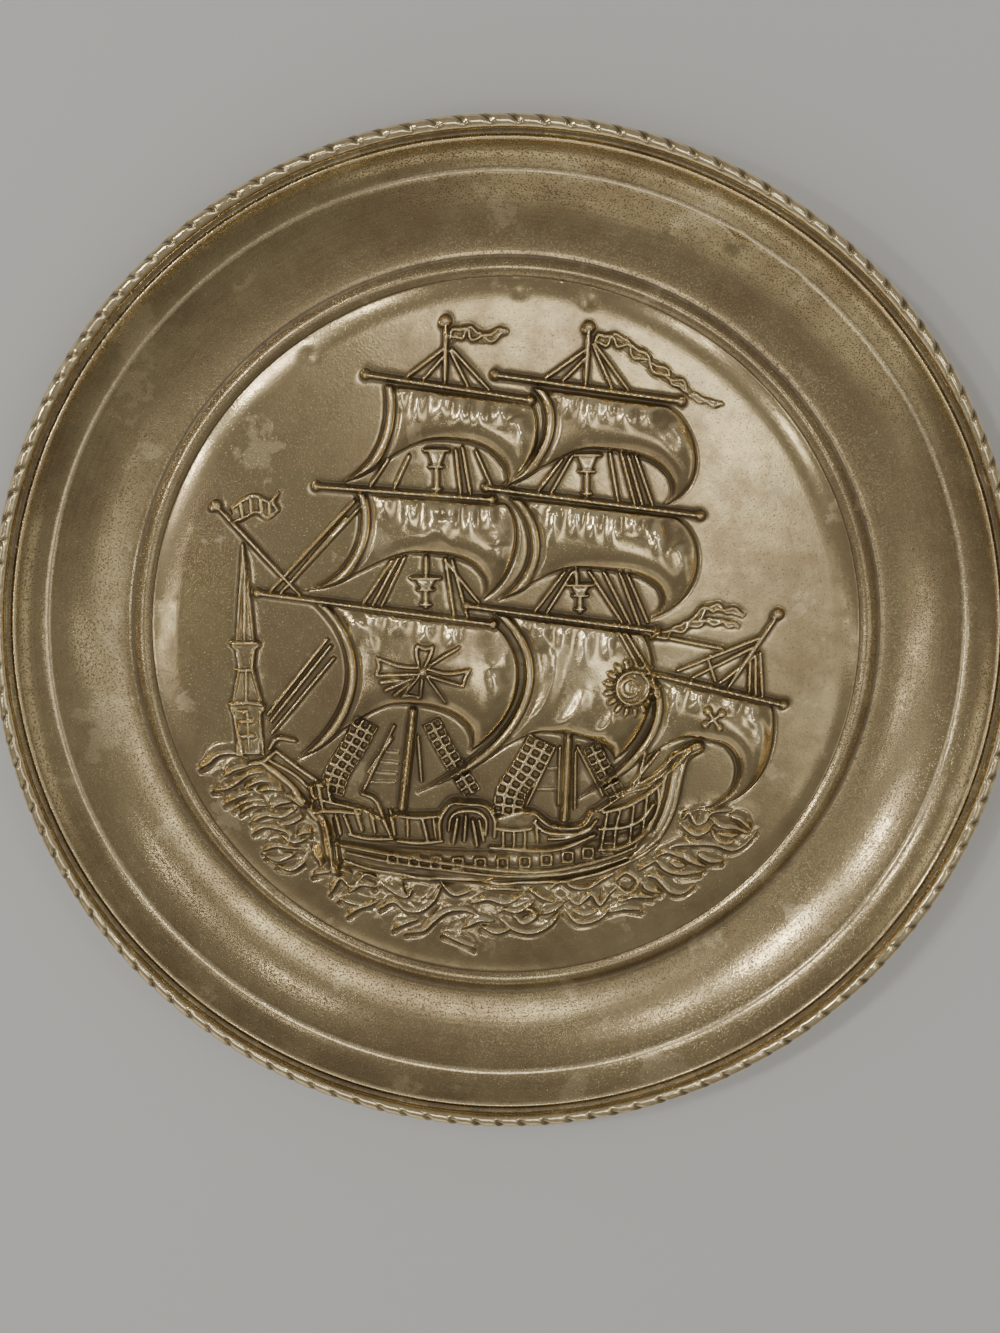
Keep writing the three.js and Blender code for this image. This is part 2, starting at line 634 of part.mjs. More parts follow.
function makeHullDetails() {
  const keel = pathFrom(KEEL);
  const mainRail = pathFrom(MAIN_RAIL);
  const rails = [
    bar(MAIN_RAIL, WALE_WIDTH, WALE_HEIGHT, { steps: 7 }),
    bar(UPPER_RAIL, WALE_WIDTH, RAIL_HEIGHT, { steps: 4, base: CASTLE_HEIGHT }),
    bar(KEEL, WALE_WIDTH, WALE_HEIGHT, { steps: 7 }),
    bar(POST, POST_WIDTH, POST_HEIGHT, { steps: 6 }),
    bar(STEM, POST_WIDTH, POST_HEIGHT, { steps: 3 }),
    bar(POOP_RAIL, COPING_WIDTH, RAIL_HEIGHT, { steps: 4 }),
    bar(WAIST_RAIL, COPING_WIDTH, RAIL_HEIGHT, { steps: 4 }),
    ...BEAK_RAILS.map((ends) => bar(ends, COPING_WIDTH, CASTLE_HEIGHT)),
  ];
  const ports = evenCuts(GUN_PORTS - 1, ...GUN_PORT_SPAN).map((share) => {
    const [x, y] = between(mainRail, keel, share, GUN_PORT_DROP);
    return box(x, y, GUN_PORT_SIZE, GUN_PORT_SIZE, HULL_HEIGHT + GUN_PORT_RISE);
  });
  return [...rails, ...CASTLES.flatMap(makeCastle), ...ports];
}

// The stern's side between the poop rail and the main rail, with its rows of windows.
function makeStern() {
  const poop = pathFrom(POOP_RAIL);
  const mainRail = pathFrom(MAIN_RAIL);
  const pointAt = (u, v) => {
    const high = poop.getPoint(mix(...STERN.poopSpan, u));
    const low = mainRail.getPoint(mix(...STERN.railSpan, u));
    return [mix(low.x, high.x, v), mix(low.y, high.y, v)];
  };
  const side = patchSolid(evenCuts(3), [0, 1], (u, v) => [...pointAt(u, v), CASTLE_HEIGHT]);
  const windows = evenCuts(WINDOWS.columns - 1, ...WINDOWS.along).flatMap((u) => (
    evenCuts(WINDOWS.rows - 1, ...WINDOWS.across).map((v) => (
      box(...pointAt(u, v), WINDOW_SIZE, WINDOW_SIZE, RAIL_HEIGHT)
    ))
  ));
  return [side, ...windows];
}

function makeLookout({ at: [x, y], drop, width }) {
  return patchSolid([-1, 0, 1], [0, LOOKOUT_CUP_SHARE, 1], (u, v) => {
    const share = [1, LOOKOUT_TAPER, LOOKOUT_STEM_SHARE][[0, LOOKOUT_CUP_SHARE, 1].indexOf(v)];
    return [x + (u * share * width) / 2, y - v * drop, u ? -EAVE_SINK : LOOKOUT_HEIGHT];
  });
}

// A rope ladder: a low web with a raised rung at every second step.
function makeNet({ ends: [top, foot], width }) {
  const down = new THREE.Vector2(foot[0] - top[0], foot[1] - top[1]).normalize();
  return patchSolid([-0.5, -NET_WEB, NET_WEB, 0.5], evenCuts(2 * NET_RUNGS), (u, v) => {
    const x = mix(top[0], foot[0], v) - down.y * u * width;
    const y = mix(top[1], foot[1], v) + down.x * u * width;
    const rung = Math.round(v * 2 * NET_RUNGS) % 2;
    const web = rung ? NET_HEIGHT : NET_HOLLOW_HEIGHT;
    return [x, y, Math.abs(u) > NET_WEB ? -EAVE_SINK : web];
  });
}

function makeRigging() {
  return [
    ...YARDS.map((ends) => bar(ends, YARD_WIDTH, YARD_HEIGHT)),
    ...YARDS.flat().map(knob),
    ...POLES.map((ends) => bar(ends, POLE_WIDTH, POLE_HEIGHT)),
    ...POLES.map(([tip]) => knob(tip)),
    ...LOWER_MASTS.map((ends) => bar(ends, LOWER_MAST_WIDTH, LOWER_MAST_HEIGHT)),
    ...LOOKOUTS.map(makeLookout),
    ...STAYS.map((ends) => bar(ends, STAY_WIDTH, STAY_HEIGHT)),
    ...NETS.map(makeNet),
  ];
}

function makeTower() {
  const tip = TOWER[0][0];
  return patchSolid([-1, 0, 1], evenCuts(TOWER.length - 1), (u, v) => {
    const [y, half] = TOWER[Math.round(v * (TOWER.length - 1))];
    return [TOWER_AXIS_X + TOWER_LEAN * (tip - y) + u * half, y, u ? -EAVE_SINK : TOWER_HEIGHT];
  });
}

function makePennant({ path, width, ripples }) {
  const middle = pathFrom(path);
  const steps = 2 * ripples;
  return patchSolid([-0.5, 0.5], evenCuts(steps), (u, v) => {
    const point = middle.getPoint(v);
    const along = middle.getTangent(v);
    const across = width * mix(1, PENNANT_TAPER, v) * u;
    const height = Math.round(v * steps) % 2 ? FLAG_HEIGHT : FLAG_FOLD_HEIGHT;
    return [point.x - along.y * across, point.y + along.x * across, height];
  });
}

// The height of an emblem that is laid on a sail, at a point of the drawing.
function emblemHeight(sailName) {
  const sail = SAILS[sailName];
  const frame = sailFrame(sail);
  return (x, y) => sailHeight(sail, ...frame.sharesAt(x, y)) + EMBLEM_HEIGHT;
}

// A cross of four arms that flare from a narrow middle.
function makeCross({ at: [x, y], reach: [reachX, reachY], waist, flare, sail }) {
  const heightAt = emblemHeight(sail);
  const arm = (direction, reach) => patchSolid([-1, 1], [-1, 0, 1], (u, v) => {
    const half = (v ? flare : waist) / 2;
    const px = x + direction.x * v * reach - direction.y * u * half;
    const py = y + direction.y * v * reach + direction.x * u * half;
    return [px, py, heightAt(px, py)];
  });
  return [
    arm(new THREE.Vector2(1, -CROSS_TILT), reachX),
    arm(new THREE.Vector2(CROSS_TILT, 1), reachY),
  ];
}

// A disc with pointed rays, open in its middle.
function makeSun({ at: [x, y], disc, hub, reach, rays, sail }) {
  const heightAt = emblemHeight(sail);
  return patchSolid([0, 1], evenCuts(2 * rays), (u, v) => {
    const step = Math.round(v * 2 * rays);
    const angle = (Math.PI * step) / rays;
    const edge = step % 2 ? disc : reach;
    const radius = u ? edge : hub;
    const px = x + radius * Math.cos(angle);
    const py = y + radius * Math.sin(angle);
    return [px, py, heightAt(px, py)];
  });
}

// Crests lie along their row, arched, with every other one turned the other way.
function makeWaveRow({ from, to, crests }, row) {
  const length = ((to[0] - from[0]) / crests) * CREST.fill;
  const heightAt = (v) => mix(WAVE_END_HEIGHT, WAVE_HEIGHT, Math.sin(Math.PI * v));
  return Array.from({ length: crests }, (_, k) => {
    const share = (k + 0.5) / crests;
    const x = mix(from[0], to[0], share);
    const y = mix(from[1], to[1], share) + CREST.bob * Math.sin(CREST.bobStep * k + row);
    const lean = CREST.lean * Math.sin(CREST.leanStep * k + 2 * row);
    const arch = (k + row) % 2 ? CREST.arch : CREST.backArch;
    const path = [
      [x - length / 2, y - lean], [x - length / 6, y + arch - lean],
      [x + length / 6, y + arch + lean], [x + length / 2, y + lean],
    ];
    return bar(path, WAVE_WIDTH, heightAt, { steps: CREST_STEPS });
  });
}

function makePlate() {
  const relief = [
    ...makeSails(),
    makeHull(),
    ...makeHullDetails(),
    ...makeStern(),
    ...makeRigging(),
    makeTower(),
    ...PENNANTS.map(makePennant),
    ...makeCross(CROSS),
    ...makeCross(FLOWER),
    makeSun(SUN),
    ...WAVE_ROWS.flatMap(makeWaveRow),
  ];
  const hollows = [...makeSailHollows(), makeHullHollow()];
  const raised = relief.reduce((whole, form) => whole.add(form), makeDish());
  const { vertProperties, triVerts } = hollows
    .reduce((whole, hollow) => whole.subtract(hollow), raised)
    .getMesh();
  const geometry = new THREE.BufferGeometry();
  geometry.setAttribute("position", new THREE.BufferAttribute(new Float32Array(vertProperties), 3));
  geometry.setIndex(new THREE.BufferAttribute(new Uint32Array(triVerts), 1));
  geometry.computeVertexNormals();
  const agedBrass = new THREE.MeshStandardMaterial({ color: 0x8f7a45, roughness: 0.38, metalness: 1 });
  const plate = new THREE.Mesh(geometry, agedBrass);
  plate.name = "plate";
  return plate;
}

const dish = new THREE.Group();
dish.name = "decorative_plate";
dish.add(makePlate());

export default dish;
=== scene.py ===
"""A round dish of pressed brass: a rope edge, a concave border, and a ship in relief on its ground."""

import math

import bpy
import numpy as np
from bpy.props import FloatProperty, FloatVectorProperty, IntProperty, PointerProperty
from bpy.types import Operator, Panel, PropertyGroup
from mathutils import Matrix, Vector


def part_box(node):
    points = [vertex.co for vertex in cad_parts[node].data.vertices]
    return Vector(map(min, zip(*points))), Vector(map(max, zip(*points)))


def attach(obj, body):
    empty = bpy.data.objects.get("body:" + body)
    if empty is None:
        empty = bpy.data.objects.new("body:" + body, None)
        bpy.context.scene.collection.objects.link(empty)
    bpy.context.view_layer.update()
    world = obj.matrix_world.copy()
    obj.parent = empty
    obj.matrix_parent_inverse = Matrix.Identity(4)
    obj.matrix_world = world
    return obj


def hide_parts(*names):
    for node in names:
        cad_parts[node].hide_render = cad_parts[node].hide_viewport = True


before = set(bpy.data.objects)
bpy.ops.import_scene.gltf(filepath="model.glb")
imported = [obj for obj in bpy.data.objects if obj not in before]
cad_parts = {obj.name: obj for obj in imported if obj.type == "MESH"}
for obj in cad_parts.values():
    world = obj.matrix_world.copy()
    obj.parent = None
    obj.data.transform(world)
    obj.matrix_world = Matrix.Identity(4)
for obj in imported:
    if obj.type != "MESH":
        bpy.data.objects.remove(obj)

bl_info = {
    "name": "Pressed brass dish",
    "version": (1, 0, 0),
    "blender": (4, 5, 0),
    "location": "View3D > Sidebar > Dish",
    "description": "Builds a round dish of pressed brass with a ship in relief, and its stage",
    "category": "Add Mesh",
}

MM = 0.001
NODE = "plate"
LOW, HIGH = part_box(NODE)
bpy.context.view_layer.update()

# Widths of the dish's zones in millimetres, from the edge inwards, and their levels
ROPE_RADIUS = 3.2
CHANNEL_LIP = 1.3
CHANNEL_WIDTH = 1.8
CHANNEL_DROP = 2.4
SHOULDER_TOP_DROP = 1.5
SHOULDER_WIDTH = 12.1
SHOULDER_FALL = 10.4
SHOULDER_HOLLOW = 1.1
BORDER_WIDTH = 34.8
BORDER_HOLLOW = 3.0
RING_WIDTH = 8.7
RING_HEIGHT = 1.7
GROUND_ROLL_WIDTH = 11.8
GROUND_RISE = 1.6
CREASE_Z = 1.0
CREASE_BEAD = 0.28
CREASE_BEAD_WIDTH = 0.7
CREASE_BLUR = 0.35
PROFILE_STEP = 0.1

OUTER_RADIUS = (HIGH[0] - LOW[0]) / 2 / MM
RIM_Z = HIGH[2] / MM - ROPE_RADIUS
ROPE_CENTRE_RADIUS = OUTER_RADIUS - ROPE_RADIUS
CHANNEL_RADIUS = OUTER_RADIUS - 2 * ROPE_RADIUS - CHANNEL_LIP
SHOULDER_OUTER_RADIUS = CHANNEL_RADIUS - CHANNEL_WIDTH
SHOULDER_INNER_RADIUS = SHOULDER_OUTER_RADIUS - SHOULDER_WIDTH
BORDER_FOOT_RADIUS = SHOULDER_INNER_RADIUS - BORDER_WIDTH
RING_INNER_RADIUS = BORDER_FOOT_RADIUS - RING_WIDTH
GROUND_RADIUS = RING_INNER_RADIUS - GROUND_ROLL_WIDTH
SHOULDER_TOP_Z = RIM_Z - SHOULDER_TOP_DROP
SHOULDER_FOOT_Z = SHOULDER_TOP_Z - SHOULDER_FALL
GROUND_Z = CREASE_Z + GROUND_RISE

# Sails, drawn in millimetres from the dish's axis: cubic side edges, the foot's arch, the height of
# the swell, and folds under the yard as a share along the head, a length, a width and a height
SAILS = {
    "fore_topgallant": dict(
        left=[(-53, 113.6), (-50.7, 99.2), (-53.9, 80.5), (-72.2, 70.6)],
        right=[(11, 106), (16.6, 97.3), (16, 75.2), (-1.1, 67.7)],
        depth=20.2, crown=0.54, powers=(3.4, 1.9), height=5.5,
        folds=[(0.1, 9, 3.6, 0.8), (0.24, 13, 3.2, 0.9), (0.4, 10, 4.2, 1.0), (0.53, 12, 3.2, 1.0),
               (0.66, 11, 3.0, 0.9), (0.8, 9, 3.6, 0.9)],
    ),
    "main_topgallant": dict(
        left=[(10.5, 112.5), (21, 105), (22, 86), (-1, 69)],
        right=[(71, 104.5), (84, 96), (92, 70), (71, 61)],
        depth=22.5, crown=0.42, powers=(2.6, 3.3), height=6.0,
        folds=[(0.16, 8, 3.6, 1.0), (0.3, 9, 3.2, 0.9), (0.44, 12, 3.0, 0.9), (0.57, 9, 3.4, 1.0),
               (0.7, 10, 4.0, 1.0), (0.86, 8, 3.2, 0.9)],
    ),
    "fore_topsail": dict(
        left=[(-66.5, 66.5), (-59, 50), (-70, 24), (-93, 21.8)],
        right=[(0, 61.5), (8, 54), (7, 30), (-10, 18.5)],
        depth=24.8, crown=0.43, powers=(2.3, 3.1), height=6.0,
        folds=[(0.2, 9, 3.4, 0.7), (0.36, 12, 3.4, 1.0), (0.52, 16, 3.6, 1.0), (0.64, 12, 3.2, 1.0),
               (0.77, 12, 3.0, 0.9), (0.89, 9, 3.0, 0.9)],
    ),
    "main_topsail": dict(
        left=[(1, 64), (13, 54), (18, 32), (-4, 17.5)],
        right=[(75, 56), (89, 48), (93, 20), (65, 9.5)],
        depth=27.3, crown=0.44, powers=(3.4, 3.2), height=6.5,
        folds=[(0.14, 9, 3.0, 0.8), (0.29, 15, 3.2, 1.0), (0.42, 11, 3.0, 0.9), (0.53, 12, 3.2, 0.9),
               (0.64, 13, 3.0, 0.8), (0.76, 8, 3.2, 1.0), (0.9, 14, 3.2, 0.9)],
    ),
    "fore_course": dict(
        left=[(-86, 16.5), (-66, -2), (-64, -32), (-96, -56.5)],
        right=[(-4, 6), (10, -6), (12, -34), (-16, -52)],
        depth=40.6, crown=0.46, powers=(3.0, 2.2), height=7.0,
        folds=[(0.22, 17, 4.4, 0.9), (0.34, 9, 3.6, 0.9), (0.47, 8, 3.6, 0.9), (0.62, 10, 3.4, 0.9),
               (0.77, 10, 3.4, 0.9)],
    ),
    "main_course": dict(
        left=[(-6, 12), (16, -4), (20, -40), (-40, -71.5)],
        right=[(62, 3), (70, -10), (70, -42), (50, -56)],
        depth=50.9, crown=0.46, powers=(4.0, 2.5), height=7.0,
        folds=[(0.2, 14, 3.6, 1.0), (0.34, 11, 4.0, 1.1), (0.48, 15, 3.4, 0.9), (0.63, 15, 3.4, 0.9),
               (0.78, 11, 3.2, 0.9)],
    ),
    "mizzen_sail": dict(
        left=[(61, -15.5), (73, -28), (71, -48), (33, -75)],
        right=[(121, -29.5), (125, -46), (122, -80), (81, -80.5)],
        depth=23.3, crown=0.55, powers=(4.5, 2.4), height=6.0,
        folds=[(0.12, 10, 3.2, 0.8), (0.3, 14, 3.0, 0.9), (0.46, 9, 3.6, 1.0), (0.7, 7, 3.6, 1.0),
               (0.86, 10, 3.8, 1.0)],
    ),
}

# Long ridges that cross a sail, as points that a smooth line passes through
SAIL_RIDGES = [
    [(17, 4), (22, -8), (21, -20), (13, -36), (-4, -51)],
    [(36, -22), (32, -32), (24, -40), (12, -47)],
    [(50, -30), (46, -39), (38, -45), (28, -48)],
    [(-69, 10), (-62, 2), (-61, -10), (-65, -17)],
    [(63, 52), (68, 48), (69, 40), (67, 35)],
    [(72, 98), (78, 90), (79, 81)],
    [(76, 44), (79, 35), (77, 26)],
    [(-27, 57), (-28, 50), (-25, 44), (-22, 43)],
    [(-3, 44), (-3, 38), (-6, 33)],
    [(113, -34), (116, -44), (114, -55)],
    [(4, 100), (7, 92), (5, 84)],
    [(-6, -12), (-4, -22), (-8, -32)],
]

YARDS = [
    [(-61.3, 118), (11, 107)],
    [(-4.5, 117.8), (77, 106.5)],
    [(-83.8, 69.2), (-6, 63.4)],
    [(-8.5, 68.5), (86.5, 56.3)],
    [(-111.5, 21.3), (-5.5, 7.2)],
    [(-17.5, 15.6), (68, 4.2)],
    [(54.2, -12.5), (126.3, -29.8)],
]
LASHING = 3.1
# The first four poles end in a knob
KNOBBED_POLES = 4
POLES = [
    [(-26, 141), (-26.6, 114.7)],
    [(36.3, 138.3), (34.9, 113.6)],
    [(122.5, 11.7), (101, -21.7)],
    [(-128.8, 60.5), (-92.5, 20.5)],
    [(-35.4, 38), (-35.6, 28)],
    [(31.5, 32), (32, 25)],
]
LOWER_MASTS = [
    [(-42, -33), (-47.5, -79)],
    [(28.7, -45), (27.1, -84)],
]
STAYS = [
    [(-27, 129), (-44.2, 116.2)], [(-26.3, 126.6), (-36.4, 115.4)],
    [(-24.2, 128.3), (-16.3, 112.4)], [(-23.4, 128.8), (-6.5, 110.6)],
    [(35.8, 129.3), (14.1, 114)], [(36.3, 126.6), (23.3, 113.6)],
    [(38, 131), (47.2, 110.6)], [(39, 131), (54.8, 109.8)],
    [(-42.6, 82.5), (-49.7, 67.4)], [(-52, 81), (-60, 69)],
    [(-19, 86), (-15.5, 65)], [(-13, 84.5), (-5.2, 66.5)], [(-22, 85), (-20, 66)],
    [(24.9, 81), (14.1, 66.5)], [(29, 82), (20, 65.8)],
    [(51, 84), (57.5, 60.8)], [(57.5, 82.5), (65.6, 59.8)], [(54, 83), (61, 60)],
    [(46, 84), (50, 62)],
    [(-50.7, 36), (-64.3, 15.8)], [(-45, 37.5), (-56, 14.6)], [(-48, 37), (-60, 15)],
    [(-26.9, 37), (-23.1, 10.5)], [(-24, 36.5), (-17.1, 10)], [(-27, 36), (-12, 17)],
    [(26.6, 31), (13, 12.6)], [(30, 31), (18.4, 12)],
    [(37.4, 31), (53.1, 7)], [(51, 31), (60.5, 6)], [(44, 31), (56.5, 6.5)], [(54, 31), (64, 8)],
    [(52, 7), (65, -14)], [(49, 8), (60, -12)],
    [(-67, 62.7), (-106, 21.5)], [(-64, 60.5), (-101.2, 21)], [(-71, 55), (-98, 24)],
    [(-80.6, 0), (-108.2, -34.7)], [(-77.8, -8.7), (-106.6, -43.4)], [(-79, -3), (-107, -38)],
    [(116, 1.5), (78, -14.1)], [(112.5, -3), (84.6, -17.4)], [(113, -7), (97, -20)],
    [(110.6, -9), (110.6, -24)], [(115, -6), (116.6, -26)], [(113, -8), (113.5, -25)],
    [(92, -10), (95, -19)], [(63, 3), (97.8, -4)],
    [(-50.7, -40), (-64.8, -70)], [(-52, -46), (-63, -62)],
    [(-40, -45), (-38.5, -66)], [(22.5, -50), (10, -77)], [(25, -50), (24.5, -77)],
    [(33, -50), (45, -73)], [(32, -52), (32, -79)], [(64, -52), (61, -66)], [(70, -52), (58, -68)],
]
RATLINES = [
    [(-58, -52), (-49, -53)], [(-60, -57), (-49, -58)], [(-62, -62), (-50, -63)],
    [(-63, -67), (-51, -67)], [(14, -70), (24, -70)], [(18, -60), (25, -60)],
]

# Look-outs: the middle of the rim, the drop to the foot, and the rim's width
LOOKOUTS = [
    ((-30.5, 85), 18, 11), ((36, 83), 18, 12), ((-35.8, 28), 13, 13), ((33.5, 25), 12, 12),
]

# Rope ladders: the middle line, the width, and the holes across and along it
NETS = [
    ([(-63, -38), (-70, -51), (-77, -62), (-80, -72)], 12.0, 3, 9),
    ([(-34, -38), (-28, -50), (-21, -62), (-15, -72)], 9.0, 2, 9),
    ([(17, -47), (10, -60), (3, -71), (1, -82)], 14.5, 3, 9),
    ([(39, -49), (44, -59), (50, -70), (53, -75)], 9.0, 2, 7),
]

# Areas under the courses, darkened with painted shade
UNDER_SAILS = [
    [(-66, -38), (-50, -33), (-30, -33), (-17, -50), (-10, -78), (-60, -80), (-82, -72)],
    [(20, -47), (45, -46), (58, -60), (58, -72), (40, -82), (5, -80), (-4, -78)],
]

# The hull: cubic curves, then the outline of the upper works behind the rails
KEEL = [(-82, -105), (-40, -117), (45, -120), (73, -92)]
MAIN_RAIL = [(-80, -92), (-35, -100), (25, -102), (68, -84)]
UPPER_WORKS = [
    (-91, -68), (-83, -65), (-79, -75), (-66, -78), (-57, -83), (-50, -81), (-31, -81), (-25, -75),
    (-9, -76), (-4, -83), (9, -79), (16, -82), (22, -87), (35, -87), (41, -79), (56, -71), (70, -66),
    (80, -54), (88, -49), (82, -56), (79, -64), (77, -76), (70, -90), (66, -95), (0, -100),
    (-78, -96), (-86, -82),
]
STERNPOST = [(88, -49), (81, -53), (78, -63), (76, -74), (72, -85), (66, -94), (58, -101)]
STEM = [(-89, -79), (-83, -86), (-81, -97), (-79, -108)]
STEM_LINE = [(-83, -84), (-81, -95), (-80, -106)]
STEM_GROOVE = [(-79, -84), (-77, -95), (-76, -106)]

# Ribs on the hull: width, height, and points that a smooth line passes through
HULL_RIBS = [
    (2.9, 2.0, [(-105, -52), (-95, -60), (-84, -68)]),
    (3.6, 2.4, [(-112, -57), (-100, -67), (-92, -77), (-87, -84)]),
    (2.2, 1.6, [(-109, -56), (-96, -64), (-87, -74)]),
    (3.1, 2.0, [(-117, -58), (-111, -57), (-106, -53)]),
    (2.9, 2.4, [(-108, -51), (-104, -46), (-96, -47)]),
    (2.6, 1.9, [(-89, -68), (-89, -78)]),
    (2.6, 1.9, [(-86, -67), (-84, -78)]),
    (2.6, 1.9, [(-82, -65), (-80, -75)]),
    (2.6, 1.9, [(-89, -80), (-78, -80), (-67, -81)]),
    (2.4, 1.8, [(-83, -75), (-74, -77), (-66, -79)]),
    (2.4, 1.8, [(-78, -82), (-76, -91)]),
    (2.4, 1.8, [(-74, -82), (-71, -91)]),
    (2.9, 2.4, [(-69, -79), (-66, -89)]),
    (2.9, 2.6, [(-66, -72), (-60, -75), (-56, -84), (-53, -91)]),
    (2.4, 1.8, [(-62, -80), (-60, -90)]),
    (2.6, 1.9, [(-72, -91), (-63, -93), (-52, -93)]),
    (2.6, 2.2, [(-53, -80), (-51, -91)]),
    (2.6, 1.9, [(-49, -82), (-40, -83), (-31, -82)]),
    (2.2, 1.4, [(-45, -84), (-45, -92)]),
    (2.6, 2.2, [(-38, -84), (-36, -93)]),
    (2.4, 1.8, [(-33, -84), (-32, -92)]),
    (2.6, 1.9, [(-50, -94), (-40, -95), (-29, -94)]),
    (2.9, 2.4, [(-30, -92), (-30, -84), (-25, -76), (-17, -76), (-9, -77), (-5, -83), (-5, -92)]),
    (2.4, 1.9, [(-26, -89), (-25, -83), (-21, -80), (-13, -80), (-9, -84), (-9, -91)]),
    (2.9, 2.6, [(-22, -83), (-24, -95)]),
    (2.6, 2.4, [(-18, -82), (-19, -94)]),
    (2.9, 2.6, [(-15, -84), (-13, -96)]),
    (2.4, 1.9, [(-12, -84), (-10, -94)]),
    (2.6, 1.9, [(-5, -88), (4, -89), (12, -88)]),
    (2.2, 1.6, [(-1, -90), (-1, -96)]),
    (2.2, 1.6, [(4, -90), (4, -96)]),
    (2.2, 1.6, [(9, -90), (9, -96)]),
    (2.2, 1.6, [(14, -84), (15, -95)]),
    (2.9, 2.4, [(9.8, -80), (14, -81), (21.7, -86.7), (34.7, -86.7), (40, -80)]),
    (2.4, 1.9, [(13, -85), (20, -90), (36, -90), (42, -84)]),
    (2.9, 2.4, [(84, -50), (75, -60), (66, -67), (55, -71), (43, -79)]),
    (2.4, 2.0, [(78, -52), (71, -61), (60, -68), (48, -73)]),
    (3.1, 2.6, [(45, -80), (56, -77), (66, -71), (71, -66)]),
    (2.9, 2.4, [(43, -88), (55, -87), (63, -83), (68, -76)]),
    (3.1, 2.6, [(43, -97), (53, -96), (62, -91), (68, -83)]),
    (2.6, 2.4, [(47, -80), (44, -97)]),
    (2.4, 2.3, [(53, -78), (51, -87), (50, -96)]),
    (2.4, 2.3, [(59, -76), (58, -86), (57, -94)]),
    (2.4, 2.3, [(65, -72), (64, -82), (63, -90)]),
    (2.6, 2.2, [(70, -68), (70, -78), (66, -88)]),
    (2.9, 2.4, [(-7, -97), (10, -98), (22, -97.5), (32, -95), (41, -91)]),
    (2.4, 1.8, [(20, -93), (30, -92), (40, -87)]),
    (3.1, 1.9, [(-78, -95), (-60, -98.5), (-40, -102), (-20, -105), (0, -107.5), (18, -108),
                (34, -105), (49, -100.5), (60, -96)]),
    (2.4, 1.4, [(-73, -99), (-50, -104), (-25, -107.5), (0, -110.5), (22, -110.5), (40, -107.5),
                (58, -101)]),
    (2.9, 1.7, [(-74, -103), (-60, -108), (-40, -111), (-18, -113.5), (0, -114.6), (22, -114),
                (38, -111.5), (50, -107.5), (62, -102), (70, -96)]),
]
STERNPOST_LINES = [
    (2.6, 1.4, [(84, -49), (76, -54), (73, -64), (71, -75), (67, -86), (60, -95)]),
    (3.0, 1.6, [(90, -51), (83, -56), (80, -66), (78, -77), (74, -88), (67, -97), (59, -104)]),
]
GUN_PORTS = 11
GUN_PORT_SPAN = (0.2, 0.82)
GUN_PORT_LEVEL = 0.4
GUN_PORT_SIZE = 4.6

# The tower at the bow: half widths at heights from its tip downwards, then ribs on it
TOWER_AXIS_X = -117.6
TOWER = [
    (44, 0.7), (20, 2.8), (0, 4.4), (-1, 6.8), (-3.5, 6.8), (-5, 4.6), (-13, 3.8), (-16, 4.4),
    (-28, 6.6), (-30, 8.2), (-33, 8.2), (-35, 6.6), (-54, 5.6),
]
TOWER_RIBS = [
    (1.6, 1.0, [(-116.9, 42), (-121.6, 0)]),
    (1.6, 1.2, [(-116.4, 38), (-117.8, 0)]),
    (1.6, 1.0, [(-115.8, 36), (-113.6, 0)]),
    (2.2, 1.4, [(-125, -1.5), (-112, -1.5)]),
    (1.6, 1.0, [(-122, -5), (-120.6, -13)]),
    (1.6, 1.0, [(-113.4, -5), (-114.8, -13)]),
    (2.0, 1.3, [(-122.4, -14), (-113.6, -14)]),
    (1.8, 1.2, [(-121, -15), (-124, -28)]),
    (1.8, 1.2, [(-117.4, -15), (-117.8, -28)]),
    (1.8, 1.2, [(-114.4, -15), (-111, -28)]),
    (2.4, 1.7, [(-125.8, -30), (-118, -29), (-110.4, -30)]),
    (1.8, 1.2, [(-124.4, -33), (-120, -54)]),
    (1.8, 1.2, [(-111.6, -33), (-111, -54)]),
    (1.8, 1.1, [(-122, -33), (-117, -33)]),
    (2.0, 1.4, [(-121, -37.6), (-115, -38)]),
    (2.0, 1.4, [(-120.5, -44.6), (-114.5, -45)]),
    (1.5, 1.0, [(-117.6, -33), (-117.2, -50)]),
]
TOWER_STUDS = [(-120, -38), (-116, -37.4), (-119.4, -45), (-115.4, -44.4), (-119, -33.4)]

# Pennants: the middle line, the width, the loops along it, and the height
PENNANTS = [
    ([(-24, 134), (-17, 137), (-10, 134), (0, 136.5)], 7.0, 3, 2.0),
    ([(39, 132), (48, 133.5), (58, 127), (70, 118), (80, 111)], 7.0, 5, 2.0),
    ([(66, 1), (75, 4), (83, 8), (91, 14.5), (98, 14), (107, 11.5)], 5.0, 5, 1.8),
    ([(82, 6), (90, 8.5), (98, 8), (105, 6)], 3.6, 3, 1.5),
    ([(81, 109), (88, 106.5), (95, 105)], 3.0, 2, 1.0),
]

# The bow's flag: its outline, and ribs along its edges and folds
FLAG = [
    (-122, 53), (-117, 54.5), (-111, 57.5), (-106, 55), (-101, 58.5), (-103, 62), (-101, 66),
    (-105, 62.5), (-111, 65), (-117, 63), (-122, 59),
]
FLAG_RIBS = [
    [(-122, 59), (-117, 63), (-111, 65), (-105, 62.5), (-101, 66)],
    [(-122, 53), (-117, 54.5), (-111, 57.5), (-106, 55), (-101, 58.5)],
    [(-101, 66), (-103, 62), (-101, 58.5)],
    [(-118, 62), (-117, 55)], [(-113.5, 64.5), (-113, 57.5)], [(-109, 64), (-108.5, 57)],
    [(-105, 62.5), (-105, 56)],
]

